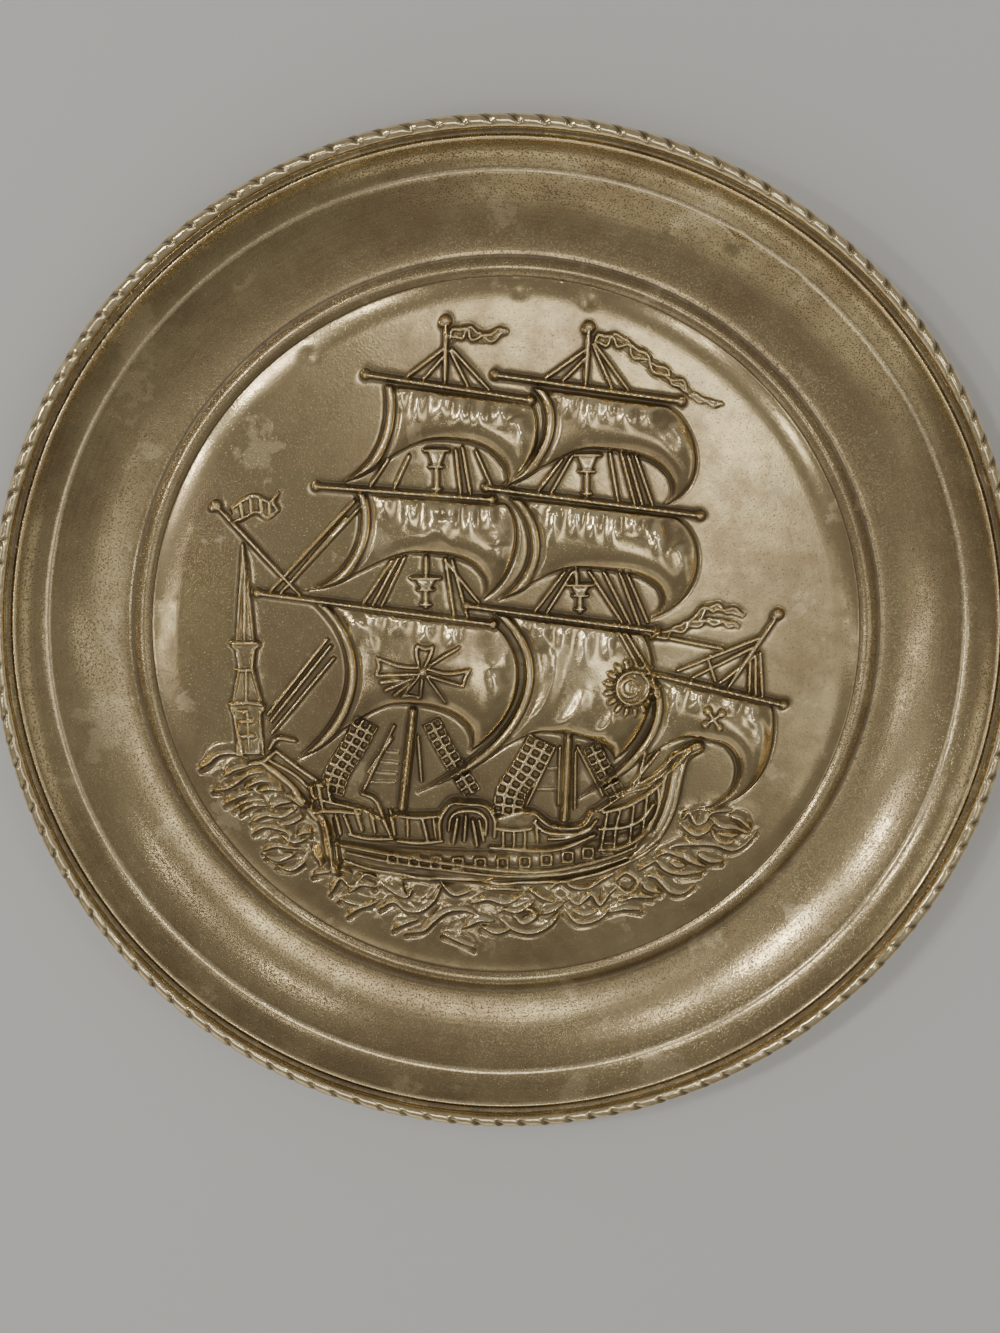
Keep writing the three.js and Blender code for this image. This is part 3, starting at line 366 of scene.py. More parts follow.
# Emblems: ribs on the fore course's cross, in points that a smooth line passes through
CROSS_RIBS = [
    [(-39, -12), (-48, -11.4), (-58, -8)], [(-39, -15), (-48, -15.4), (-58.5, -16)],
    [(-58, -8), (-57, -12), (-58.5, -16)],
    [(-35, -12.5), (-26, -14.5), (-16, -13)], [(-35, -15.5), (-27, -17.8), (-19, -20)],
    [(-16, -13), (-18, -16), (-19, -20)],
    [(-39, -11), (-40, -6), (-39.8, -2)], [(-36, -11), (-34, -7), (-32.5, -2.5)],
    [(-39.8, -2), (-36, -3.6), (-32.5, -2.5)],
    [(-39, -16), (-43, -21), (-47, -26)], [(-37.5, -17), (-38, -22), (-38.5, -26)],
    [(-35.5, -16), (-31, -22), (-27, -28)], [(-47, -26), (-43, -25), (-38.5, -26)],
    [(-34, -11), (-28, -7), (-21, -3)],
]
CROSS_RAYS = [[(-41, -16.5), (-54, -22.5)], [(-46, -17.6), (-56, -19)], [(-43, -19), (-50, -25)]]
CROSS_BOSS = (-37.2, -14)
SUN_AT = (57.5, -21.1)
SUN_RADIUS = 7.3
SUN_GROOVE_RADIUS = SUN_RADIUS + 1.2
SUN_RAY_START = SUN_RADIUS + 2.6
SUN_REACH = 13.4
SUN_RAYS = 17
SUN_SCROLL_OFFSET = np.array([-1.2, 0.2])
SUN_SCROLL_RADIUS = 4.0
SUN_STUD_OFFSET = np.array([1.8, -0.4])
FLOWER_AT = (94.3, -35.8)
FLOWER_REACH = 4.6
FLOWER_ANGLES = [35, 125, 215, 305]

# The sea's raised bodies, then its crests as points that a smooth line passes through
SEA_BODIES = [
    [(-140, -62), (-131, -54), (-118, -56), (-108, -60), (-94, -76), (-87, -90), (-86, -108), (-96, -109),
     (-108, -106), (-114, -96), (-122, -82), (-134, -72)],
    [(-90, -110), (-78, -107), (-58, -109), (-30, -114), (0, -116), (26, -116), (48, -111), (62, -106),
     (80, -112), (90, -118), (78, -124), (60, -128), (46, -134), (22, -139), (-8, -146), (-22, -146),
     (-40, -140), (-66, -133), (-84, -124)],
    [(66, -104), (80, -92), (81, -81), (96, -79), (106, -81), (116, -90), (111, -98), (100, -104),
     (92, -111), (76, -111)],
]
CRESTS = [
    [(-140, -60), (-136, -57.5), (-131, -53.5), (-124, -53), (-118, -56)],
    [(-134.5, -70.5), (-128, -69.5), (-121, -65), (-117, -62.5), (-110, -62)],
    [(-129, -77), (-123, -73.5), (-116, -71)], [(-125, -79.5), (-119, -75.5), (-111, -75)],
    [(-122, -81), (-116, -77.5), (-109, -78)], [(-120, -69.5), (-113, -66), (-106, -67)],
    [(-114, -71), (-108, -69.5), (-102, -71)], [(-109, -80), (-104, -76.5), (-98, -76)],
    [(-117, -85.5), (-110, -82), (-103, -83), (-97, -80)], [(-106, -87.5), (-99, -86), (-93, -83)],
    [(-116, -90.5), (-111, -88), (-105, -88.5), (-100, -91), (-101, -96), (-107, -96.5)],
    [(-97, -92.5), (-93, -90.5), (-89, -91)], [(-112, -99.5), (-106, -97), (-99, -98), (-94, -99)],
    [(-111, -102.5), (-105, -104), (-98, -101.5)], [(-106, -107), (-99, -108.5), (-93, -105)],
    [(-89, -96), (-88, -101), (-86, -104), (-86, -108)], [(-129, -64), (-124, -60.5), (-117, -59)],
    [(-101, -73), (-97, -75), (-93, -79)], [(-104, -92), (-98, -95), (-92, -94)],
    [(-89, -111), (-83, -109.5), (-77, -108.5), (-71, -111)],
    [(-81, -119.5), (-76.5, -112.5), (-71, -116.5), (-65, -111), (-60, -113)],
    [(-73, -120), (-67, -115.5), (-60, -117)], [(-77, -123), (-70, -125), (-63, -126)],
    [(-73, -131), (-68, -127), (-60, -124.5)], [(-57, -116), (-51, -119.5), (-46, -121.5), (-43, -118)],
    [(-58, -127), (-52, -124), (-46, -128), (-39, -128), (-33, -123), (-30, -117)],
    [(-48, -113), (-40, -112), (-31, -114)], [(-31, -113), (-27, -118), (-23, -120.5), (-16, -119)],
    [(-46, -139.5), (-38, -138), (-33, -133), (-27, -128.5), (-19, -128), (-12, -131)],
    [(-52, -137.5), (-46, -134), (-41, -133)], [(-29, -140), (-22, -143), (-14, -147)],
    [(-19, -137), (-12, -133), (-5, -134)], [(-11, -136.5), (-4, -139), (3, -137)],
    [(-16, -125), (-8, -122.5), (0, -124.5), (8, -121)], [(-10, -118), (0, -117.5), (8, -119)],
    [(-1, -128), (6, -128.5), (13, -124)], [(11, -118), (17, -121.5), (23, -124.5)],
    [(-2, -133), (4, -137.5), (13, -139), (21, -135), (25, -129)],
    [(4, -131), (8, -134.5), (14, -131), (12, -127.5), (7, -128)], [(17, -130), (22, -128), (27, -125)],
    [(21, -118), (26, -113.5), (31, -116.5), (38, -117), (45, -113), (51, -110)],
    [(29, -122), (34, -125), (40, -120), (44, -125), (48, -120), (53, -116)],
    [(28, -128.5), (34, -134), (43, -132.5), (49, -127)], [(31, -128), (37, -130), (43, -128.5)],
    [(51, -114), (56, -109.5), (61.5, -114), (57, -119), (51, -115)],
    [(61, -111), (66, -117.5), (73, -119.5)], [(52, -124), (60, -121), (69, -122)],
    [(65, -111.5), (70, -112), (76, -118), (82, -119.5), (88, -116)], [(48, -129), (56, -127), (64, -128)],
    [(69, -103), (74, -108), (81, -110), (91, -109.5)], [(69, -102.5), (75, -99.5), (82, -102), (88, -106)],
    [(76, -104.5), (80, -106.5), (84, -106)], [(81, -99), (86, -103.5), (93, -107)],
    [(88, -100.5), (95, -104), (101, -104)], [(61, -109), (66, -105.5), (70, -104)],
    [(71, -100), (79, -96.5), (88, -95.5), (97, -96), (105, -98.5), (111, -95.5), (116, -90)],
    [(82, -84), (84.5, -81), (88, -86), (92, -84.5), (95, -80.5), (104, -80)],
    [(81, -87), (87, -91), (92, -90), (96, -86)], [(94, -83), (99, -87), (106, -88), (113, -91)],
    [(103, -82.5), (108, -84), (113, -89)], [(95, -89), (97, -93), (102, -95.5), (107, -93)],
    [(82, -92), (86, -95), (92, -93)], [(98, -90.5), (103, -91.5), (108, -91)],
]
CHOP_WAVES = [(17.0, 1.25), (12.0, 1.95), (21.0, 1.6), (9.0, 1.4)]

# Dents in the border: place on the dish in millimetres, radius and depth
DENTS = [
    ((72, 177), 4.2, 1.2), ((98, 174), 3.8, 1.5), ((123, 159.5), 2.8, 0.9), ((202, 76), 4.0, 0.9),
    ((36.5, 149.5), 3.6, 0.5), ((-86, 126), 3.6, 0.4), ((26, 157.5), 2.0, 0.3), ((6, 153), 3.4, 0.3),
]
UNDULATIONS = 26
UNDULATION_LENGTHS = (18, 90)
UNDULATION_HEIGHT = 0.07
NOISE_SEED = 11

# Ribs: width and height, the shares of the width and of the height left at their two ends, and the
# width of the fillet at their foot
STAY = dict(width=2.3, height=1.7, ends=(0.9, 0.9))
RATLINE = dict(width=1.6, height=0.6)
LOWER_MAST = dict(width=5.0, height=3.0, ends=(0.8, 1.0))
LOWER_MAST_CREST = dict(width=1.8, height=3.6, ends=(0.8, 1.0))
POLE = dict(width=3.0, height=2.2)
YARD = dict(width=3.0, height=3.6, ends=(1.0, 1.0))
LOOKOUT_RIM = dict(width=2.6, height=2.8)
LOOKOUT_STEM = dict(width=3.2, height=2.0, ends=(0.8, 1.0))
LOOKOUT_NECK = dict(width=2.0, height=2.3)
LOOKOUT_FOOT = dict(width=2.0, height=2.2)
STERNPOST_RIB = dict(width=8.0, height=4.6, ends=(0.7, 0.6))
STEM_RIB = dict(width=7.0, height=4.4, ends=(0.8, 0.7))
STEM_LINE_RIB = dict(width=2.0, height=1.4)
GUN_PORT_RIB = dict(width=1.8, height=1.2, ends=(1, 1))
FLAG_RIB = dict(width=2.3, height=1.3)
CROSS_RIB = dict(width=2.1, height=1.5, blend=0.3)
CROSS_RAY = dict(width=3.0, height=1.8, ends=(0.4, 1.0), blend=0.3)
SUN_RIM = dict(width=1.8, height=1.1, ends=(1, 1))
SUN_SCROLL = dict(width=2.2, height=1.2, ends=(0.3, 0.3))
SUN_RAY = dict(width=2.6, height=1.5, ends=(1.0, 0.3), rise=(1, 0.4), blend=0.25)
PETAL = dict(width=2.2, height=1.3, blend=0.25)
HULL_RIB_ENDS = (0.8, 0.8)
# A pennant's band as shares of its width and height, and its strands: width, share of the height,
# and the side to which they swing first
PENNANT_BAND = (0.8, 0.45)
PENNANT_STRANDS = [(2.5, 1.0, 1), (2.1, 0.8, -1)]
# A rib has its full width and height between the middle two of these shares of its length
RIB_SPREAD = [0, 0.25, 0.75, 1]
BEAD_HEIGHT = 0.22

# Studs: radius and height
POLE_KNOB = (2.9, 2.6)
POLE_KNOB_CREST = (1.9, 2.9)
POLE_KNOB_CREST_OFFSET = (-1.6, -1.2)
YARD_KNOB = (2.5, 3.9)
TOWER_STUD = (1.5, 1.5)
CROSS_STUD = (2.4, 1.7)
SUN_STUD = (2.0, 1.2)
PETAL_STUD = (2.1, 1.9)
FLOWER_STUD = (1.7, 1.5)

# Raised outlines: height and bevel
HULL_SLAB = (5.2, 9.0)
UPPER_WORKS_SLAB = (2.4, 2.0)
LOOKOUT_SLAB = (2.2, 2.0)
TOWER_SLAB = (1.6, 1.6)
FLAG_SLAB = (0.9, 1.2)

# Grooves: width and depth
STEM_CUT = (2.2, 1.4)
GUN_PORT_CUT = (2.6, 0.6)
SUN_CUT = (2.2, 1.0)
CREST_TROUGH = (3.6, 1.0)

# Darkening beyond what the hollows have: painted shade under the courses and towards the sails' feet, patina
# on the hull and the upper works, and the width of its edge on the hull
UNDER_SAILS_SHADE = 0.3
HULL_PATINA = 0.42
HULL_PATINA_EDGE = 3.0
UPPER_WORKS_PATINA = 0.1
SAIL_FOOT_SHADE = 0.62

# A sail's form: how far in from each edge its cloth still rises, the rope along its left edge and
# the groove beside it as distance in from the edge, half width and height, and the ground pressed
# down round it as depth and width
SWELL_SHARE = 1.1
SAIL_RISE = dict(right=15, foot=14, left=8, top=3)
CLOTH_EDGE = 0.5
EDGE_ROPE = (2.0, 2.3, 2.7)
EDGE_GROOVE = (5.2, 1.3, 0.4)
SAIL_MOAT = (0.4, 1.1)
SAIL_RIDGE = (6.5, 1.1)

# A fold's shares of its drawn width and height, its lean, the share of the head where it hangs
# straight, and its points across and down as shares of its length
FOLD_WIDTH = 1.9
FOLD_HEIGHT = 1.3
FOLD_LEAN = 0.2
FOLD_UPRIGHT_AT = 0.35
FOLD_ACROSS = np.array([0, 0.4, 1])
FOLD_DOWN = np.array([0.1, 0.7, 1.4])

# A net's height, the depth of its holes, their edge as shares of half a cell, and its own bevel
NET_HEIGHT = 1.8
NET_HOLE_DEPTH = 1.6
NET_HOLE = (0.45, 0.8)
NET_BEVEL = 0.8
# The yards rise from this share of what lies under them
YARD_BASE_SHARE = 0.35

# A crest of the sea: width and height, the steep side's share of the width, the power of its fall
# and how far its trough lies below it
CREST_SIZE = (6.0, 3.2)
CREST_STEEP_SHARE = 0.36
CREST_POWER = 1.6
CREST_TROUGH_OFFSET = np.array([0.4, 2.4])
# The sea's body: its least height, the chop's height, and where other forms stop it
SEA_HEIGHT = 0.3
CHOP_HEIGHT = 1.3
SEA_STOPS_AT = 1.5


def mix(a, b, share):
    return a + (b - a) * share


def smooth(low, high, value):
    """Smoothstep: 0 below low, 1 above high, and 3t^2 - 2t^3 between."""
    t = np.clip((value - low) / (high - low), 0, 1)
    return t * t * (3 - 2 * t)


def rounded(distance, width):
    """(1 - (1 - d/w)^3)^0.6: steep at the edge, and level without a bend where it reaches 1."""
    return (1 - (1 - np.clip(distance / width, 0, 1)) ** 3) ** 0.6


def ridge(distance, half):
    """A parabola 1 - (d/half)^2, held at 0 outside."""
    return np.clip(1 - (distance / half) ** 2, 0, 1)


def smooth_max(a, b, blend):
    """The larger of two, with a fillet (blend - |a - b|)^2 / (4 blend) where they are close."""
    return np.maximum(a, b) + np.clip(blend - np.abs(a - b), 0, None) ** 2 / (4 * blend)


def bezier(points, count=24):
    """A cubic curve: the sum of each handle times its Bernstein weight."""
    t = np.linspace(0, 1, count + 1)[:, None]
    a, b, c, d = (np.array(p, float) for p in points)
    return a * (1 - t) ** 3 + 3 * b * t * (1 - t) ** 2 + 3 * c * t * t * (1 - t) + d * t ** 3


def through(points, steps=6):
    """A Catmull-Rom curve through every point; two points give a straight line."""
    p = np.array(points, float)
    if len(p) == 2:
        return p
    ends = np.vstack([2 * p[0] - p[1], p, 2 * p[-1] - p[-2]])
    t = (np.arange(steps) / steps)[None, :, None]
    a, b, c, d = (ends[k:len(p) - 1 + k, None, :] for k in range(4))
    curve = 0.5 * (2 * b + (c - a) * t + (2 * a - 5 * b + 4 * c - d) * t ** 2
                   + (3 * b - a - 3 * c + d) * t ** 3)
    return np.vstack([curve.reshape(-1, 2), p[-1:]])


def distance_to(x, y, line):
    """Distance to a polyline, and the share of its length at the nearest place: on each segment
    the nearest share is (p - a).(b - a) / |b - a|^2 held to 0..1, and the nearest segment counts."""
    a, step = line[:-1], np.diff(line, axis=0)
    square = np.maximum((step ** 2).sum(1), 1e-12)
    length = np.sqrt(square)
    start = np.concatenate([[0], np.cumsum(length)])
    dx, dy = x[:, None] - a[:, 0], y[:, None] - a[:, 1]
    t = np.clip((dx * step[:, 0] + dy * step[:, 1]) / square, 0, 1)
    gap = np.hypot(dx - t * step[:, 0], dy - t * step[:, 1])
    k = gap.argmin(1)
    rows = np.arange(len(x))
    return gap[rows, k], (start[k] + t[rows, k] * length[k]) / start[-1]


def side_of(x, y, line, share):
    """1 to the left of a polyline and -1 to its right, where share is the nearest place on it."""
    step = np.diff(line, axis=0)
    ends = np.concatenate([[0], np.cumsum(np.hypot(*step.T))])
    k = np.clip(np.searchsorted(ends / ends[-1], share) - 1, 0, len(step) - 1)
    return np.sign(step[k, 0] * (y - line[k, 1]) - step[k, 1] * (x - line[k, 0]))


def inside_polygon(x, y, corners):
    """True where a ray to the right crosses the outline an odd number of times."""
    a, b = np.array(corners, float), np.roll(np.array(corners, float), -1, axis=0)
    spans = (a[:, 1] > y[:, None]) != (b[:, 1] > y[:, None])
    rise = np.where(b[:, 1] == a[:, 1], 1e-9, b[:, 1] - a[:, 1])
    cross = a[:, 0] + (y[:, None] - a[:, 1]) * (b[:, 0] - a[:, 0]) / rise
    return (spans & (x[:, None] < cross)).sum(1) % 2 == 1


class Relief:
    """Heights in millimetres above the ground over the drawing's points. New forms rise from base,
    which settle() sets to what has been laid so far."""

    def __init__(self, x, y):
        self.x, self.y = x.ravel(), y.ravel()
        self.height = np.zeros(self.x.size)
        self.base = self.height.copy()
        self.drawn_patina_and_shade = self.height.copy()

    def settle(self):
        self.base = self.height.copy()

    def near(self, line, margin):
        low, high = np.min(line, axis=0) - margin, np.max(line, axis=0) + margin
        x, y = self.x, self.y
        return np.flatnonzero((x > low[0]) & (x < high[0]) & (y > low[1]) & (y < high[1]))

    def lay(self, line, width, height, ends=(0.7, 0.7), rise=(1.0, 1.0), blend=0.35, beads=0):
        """A rib along a line: height (1 - (d / half)^2) above the base, with a fillet at its foot.
        ends and rise are the shares of width and height left at its two ends, and beads is the
        number of waves along its crest, like the turns of a lashing."""
        line = np.asarray(line, float)
        at = self.near(line, width)
        if not at.size:
            return
        gap, share = distance_to(self.x[at], self.y[at], line)
        half = width / 2 * np.interp(share, RIB_SPREAD, [ends[0], 1, 1, ends[1]])
        top = height * np.interp(share, RIB_SPREAD, [rise[0], 1, 1, rise[1]])
        level = self.base[at] + top * (1 - (gap / half) ** 2)
        if beads:
            level += BEAD_HEIGHT * np.cos(2 * np.pi * beads * share)
        self.height[at] = smooth_max(self.height[at], level, blend)

    def crest(self, line, width, height, blend=0.5):
        """A breaking crest along a line: height (1 - d / w)^power above the base, where w is the steep
        share of the width on the right of the line and all of it on the left, thin at both ends."""
        at = self.near(line, 1.5 * width)
        x, y = self.x[at], self.y[at]
        gap, share = distance_to(x, y, line)
        body = 0.25 + 0.75 * np.sin(np.pi * share) ** 0.7
        reach = width * body * np.where(side_of(x, y, line, share) > 0, 1, CREST_STEEP_SHARE)
        level = self.base[at] + height * body * np.clip(1 - gap / reach, 0, 1) ** CREST_POWER
        level -= 0.5 * np.clip(gap / reach - 1, 0, 4)
        self.height[at] = smooth_max(self.height[at], level, blend)

    def stud(self, centre, radius, height, blend=0.3):
        """A round boss: height (1 - (d / radius)^2) above the base."""
        at = self.near(np.array([centre], float), 2 * radius)
        gap = np.hypot(self.x[at] - centre[0], self.y[at] - centre[1])
        level = self.base[at] + height * (1 - (gap / radius) ** 2)
        self.height[at] = smooth_max(self.height[at], level, blend)

    def slab(self, corners, height, bevel, blend=0.4):
        """A raised polygon: height times a rounded rise over the bevel, inwards from its outline, and
        a straight fall of twice the height over the bevel outside it."""
        outline = np.vstack([corners, corners[:1]]).astype(float)
        at = self.near(outline, bevel)
        x, y = self.x[at], self.y[at]
        gap, _ = distance_to(x, y, outline)
        inside = inside_polygon(x, y, corners)
        level = np.where(inside, height * rounded(gap, bevel), -2 * height * gap / bevel)
        self.height[at] = smooth_max(self.height[at], level, blend)

    def swell(self, line, width, height):
        """A soft fold along a line: height exp(-(d / half)^2), fading in and out along it, added."""
        line = np.asarray(line, float)
        at = self.near(line, 1.5 * width)
        gap, share = distance_to(self.x[at], self.y[at], line)
        fade = smooth(-0.1, 0.2, share) * (1 - smooth(0.35, 1, share))
        self.height[at] += height * fade * np.exp(-(2 * gap / width) ** 2)

    def darken(self, corners, amount, soft=4.0):
        """Darker colour inside a polygon, coming in over a soft edge: patina on the hull, painted shade
        under the courses.
        """
        outline = np.vstack([corners, corners[:1]]).astype(float)
        at = self.near(outline, 0)
        gap, _ = distance_to(self.x[at], self.y[at], outline)
        inside = inside_polygon(self.x[at], self.y[at], corners)
        self.drawn_patina_and_shade[at] += amount * inside * smooth(0, soft, gap)

    def cut(self, line, width, depth):
        """A groove along a line: depth (1 - (d / half)^2)^2 below what is there."""
        line = np.asarray(line, float)
        at = self.near(line, width)
        gap, _ = distance_to(self.x[at], self.y[at], line)
        self.height[at] -= depth * ridge(gap, width / 2) ** 2


class SailCloth:
    """A sail's own frame: s runs along its head, t down from it. u is the share of the width
    between the side edges at t, and v the share of t down to the foot's arch at u."""

    def __init__(self, sail):
        self.sail = sail
        self.head = np.array(sail["left"][0], float)
        along = np.array(sail["right"][0], float) - self.head
        self.length = np.hypot(*along)
        self.along = along / self.length
        self.down = np.array([self.along[1], -self.along[0]])
        self.left = bezier(sail["left"])
        self.right = bezier(sail["right"])
        self.left_st = self.to_cloth(self.left)
        self.right_st = self.to_cloth(self.right)
        u = np.linspace(0, 1, 41)
        self.foot = self.to_drawing(*self.at_share(u, self.foot_at(u)))

    def to_cloth(self, points):
        offset = points - self.head
        return np.column_stack([offset @ self.along, offset @ self.down])

    def to_drawing(self, s, t):
        return self.head + np.outer(s, self.along) + np.outer(t, self.down)

    def side(self, edge, t):
        return np.interp(t, edge[:, 1], edge[:, 0])

    def foot_at(self, u):
        """The foot's t: from its depth at the crown to the corner's, as a power of the share."""
        crown, (left_power, right_power) = self.sail["crown"], self.sail["powers"]
        left = np.clip(1 - u / crown, 0, 1) ** left_power
        right = np.clip((u - crown) / (1 - crown), 0, 1) ** right_power
        depth = self.sail["depth"]
        return depth + (self.left_st[-1, 1] - depth) * left + (self.right_st[-1, 1] - depth) * right

    def at_share(self, u, t):
        return mix(self.side(self.left_st, t), self.side(self.right_st, t), u), t

    def shares(self, x, y):
        st = self.to_cloth(np.column_stack([x, y]))
        low, high = self.side(self.left_st, st[:, 1]), self.side(self.right_st, st[:, 1])
        u = (st[:, 0] - low) / (high - low)
        v = st[:, 1] / self.foot_at(np.clip(u, 0, 1))
        inside = (u >= 0) & (u <= 1) & (v >= 0) & (v <= 1)
        return np.clip(u, 0, 1), np.clip(v, 0, 1), inside


def lay_sail(relief, sail):
    """Height of a sail: its swell, larger to the right and towards the foot, times a rounded rise
    inwards from each of its four edges, plus a rope along its left edge with a groove beside it.
    Outside, the ground is pressed down by depth exp(-(d / width)^2)."""
    cloth = SailCloth(sail)
    head = np.array([sail["left"][0], sail["right"][0]], float)
    outline = np.vstack([cloth.left, cloth.foot, cloth.right])
    at = relief.near(outline, 3)
    x, y = relief.x[at], relief.y[at]
    u, v, inside = cloth.shares(x, y)
    edges = dict(left=cloth.left, right=cloth.right, foot=cloth.foot, top=head)
    gaps = {name: distance_to(x, y, edge)[0] for name, edge in edges.items()}
    nearest = np.min(list(gaps.values()), axis=0)
    across = mix(0.3, 1, smooth(-0.05, 0.85, u))
    down = mix(0.25, 1, np.sin(np.pi / 2 * np.minimum(v / 0.8, 1)) ** 1.2)
    swell = SWELL_SHARE * sail["height"] * across * down
    swell *= math.prod(rounded(gaps[name], width) for name, width in SAIL_RISE.items())
    from_crown = np.abs(u - sail["crown"]) / max(sail["crown"], 1 - sail["crown"])
    swell *= 1 - 0.3 * smooth(0.6, 1, from_crown) * v
    rope_at, rope_half, rope_height = EDGE_ROPE
    groove_at, groove_half, groove_depth = EDGE_GROOVE
    level = swell + CLOTH_EDGE * np.clip(nearest / 0.6, 0, 1)
    level += (rope_height * ridge(gaps["left"] - rope_at, rope_half)
              - groove_depth * np.exp(-((gaps["left"] - groove_at) / groove_half) ** 2))
    level = np.where(inside, level, -2.2 * nearest)
    moat_depth, moat_width = SAIL_MOAT
    moat = np.where(inside, 0, moat_depth * np.exp(-(nearest / moat_width) ** 2))
    relief.height[at] = smooth_max(relief.height[at] - moat, level, 0.3)
    # Painted shade: the cloth's colour darkens towards its foot, except near the rope on its left edge
    darkening = SAIL_FOOT_SHADE * smooth(0.4, 0.95, v) * smooth(2, 8, gaps["left"])
    relief.drawn_patina_and_shade[at] = np.where(inside, darkening, relief.drawn_patina_and_shade[at])
    return cloth


def lay_folds(relief, cloth):
    """Soft folds that hang from the yard down the cloth."""
    for share, length, width, height in cloth.sail["folds"]:
        start, lean = cloth.length * share, FOLD_LEAN * length * (share - FOLD_UPRIGHT_AT)
        line = cloth.to_drawing(start + lean * FOLD_ACROSS, length * FOLD_DOWN)
        relief.swell(line, FOLD_WIDTH * width, FOLD_HEIGHT * height)


def lay_sails(relief):
    """The sails from the topgallants down, each over the one before, then their folds and ridges."""
    cloths = [lay_sail(relief, sail) for sail in SAILS.values()]
    for cloth in cloths:
        lay_folds(relief, cloth)
    for points in SAIL_RIDGES:
        relief.swell(through(points), *SAIL_RIDGE)
    relief.settle()


def lay_lookout(relief, rim, drop, width):
    """A cup on a stem, with a bar for its rim and beads where it narrows."""
    x, y = rim
    cup, stem = y - 0.4 * drop, y - drop

    def across(share, level):
        return [(x - share * width / 2, level), (x + share * width / 2, level)]

    relief.slab(across(0.8, y) + across(0.35, cup)[::-1], *LOOKOUT_SLAB)
    relief.lay(across(1, y), **LOOKOUT_RIM)
    relief.lay([(x, cup), (x, stem)], **LOOKOUT_STEM)
    relief.lay(across(0.6, cup), **LOOKOUT_NECK)
    relief.lay(across(0.4, stem + 1), **LOOKOUT_FOOT)


def lay_net(relief, points, width, columns, rows):
    """A web with holes: in each cell of the ladder the web falls by a rounded square in its middle."""
    line = through(points)
    at = relief.near(line, width)
    x, y = relief.x[at], relief.y[at]
    gap, share = distance_to(x, y, line)
    across = 0.5 + side_of(x, y, line, share) * gap / width
    cell_u = np.abs(across * columns % 1 - 0.5) * 2
    cell_v = np.abs(share * rows % 1 - 0.5) * 2
    hole = (1 - smooth(*NET_HOLE, cell_u)) * (1 - smooth(*NET_HOLE, cell_v))
    edge = np.clip((width / 2 - gap) / NET_BEVEL, -2, 1)
    level = relief.base[at] + NET_HEIGHT * edge - NET_HOLE_DEPTH * hole
    level = np.where((share > 0) & (share < 1), level, -1)
    relief.height[at] = smooth_max(relief.height[at], level, 0.25)


def lay_rigging(relief):
    """The nets, stays, masts and look-outs on the sails, then the yards across them."""
    relief.settle()
    # Painted shade: the ground under the courses is darkened in its colour
    for corners in UNDER_SAILS:
        relief.darken(np.array(corners, float), UNDER_SAILS_SHADE)
    for points, width, columns, rows in NETS:
        lay_net(relief, points, width, columns, rows)
    for ends in STAYS:
        relief.lay(ends, **STAY)
    for ends in RATLINES:
        relief.lay(ends, **RATLINE)
    for ends in LOWER_MASTS:
        relief.lay(ends, **LOWER_MAST)
        relief.lay(ends, **LOWER_MAST_CREST)
    for rim, drop, width in LOOKOUTS:
        lay_lookout(relief, rim, drop, width)
    for ends in POLES:
        relief.lay(ends, **POLE)
    for tip, _ in POLES[:KNOBBED_POLES]:
        relief.stud(tip, *POLE_KNOB)
        relief.stud(np.add(tip, POLE_KNOB_CREST_OFFSET), *POLE_KNOB_CREST)
    relief.base[:] = np.maximum(relief.base * YARD_BASE_SHARE, 0)
    for ends in YARDS:
        relief.lay(ends, **YARD, beads=math.dist(*ends) / LASHING)
        for end in ends:
            relief.stud(end, *YARD_KNOB)
    relief.settle()


def lay_gun_ports(relief, rail, keel):
    """Square frames at even shares between the rail and the keel, each with a groove in its middle."""
    share = np.linspace(*GUN_PORT_SPAN, GUN_PORTS)

    def along(curve):
        return np.column_stack([np.interp(share, np.linspace(0, 1, len(curve)), axis) for axis in curve.T])

    half = GUN_PORT_SIZE / 2
    square = half * np.array([(-1, 1), (1, 1), (1, -1), (-1, -1), (-1, 1)])
    slot = half / 2 * np.array([(0, 1), (0, -1)])
    for middle in mix(along(rail), along(keel), GUN_PORT_LEVEL):
        relief.lay(middle + square, **GUN_PORT_RIB)
        relief.cut(middle + slot, *GUN_PORT_CUT)


def lay_hull(relief):
    """The hull between its rail and keel, the upper works, stem and sternpost, then the ribs on them."""
    keel, rail = bezier(KEEL), bezier(MAIN_RAIL)
    side = np.vstack([rail, keel[::-1]])
    relief.slab(side, *HULL_SLAB)
    relief.darken(side, HULL_PATINA, HULL_PATINA_EDGE)
    relief.darken(np.array(UPPER_WORKS, float), UPPER_WORKS_PATINA)
    relief.slab(UPPER_WORKS, *UPPER_WORKS_SLAB)
    relief.lay(through(STERNPOST), **STERNPOST_RIB)
    relief.lay(through(STEM), **STEM_RIB)
    relief.settle()
    for width, height, points in HULL_RIBS + STERNPOST_LINES:
        relief.lay(through(points), width, height, ends=HULL_RIB_ENDS)
    relief.lay(through(STEM_LINE), **STEM_LINE_RIB)
    relief.cut(through(STEM_GROOVE), *STEM_CUT)
    lay_gun_ports(relief, rail, keel)
    relief.settle()


def lay_tower(relief):
    """A polygon from the tower's half widths, with ribs and studs on it."""
    heights = np.array(TOWER, float)
    right = np.column_stack([TOWER_AXIS_X + heights[:, 1], heights[:, 0]])
    left = np.column_stack([TOWER_AXIS_X - heights[:, 1], heights[:, 0]])[::-1]
    relief.slab(np.vstack([right, left]), *TOWER_SLAB)
    relief.settle()
    for width, height, points in TOWER_RIBS:
        relief.lay(through(points), width, height)
    for centre in TOWER_STUDS:
        relief.stud(centre, *TOWER_STUD)


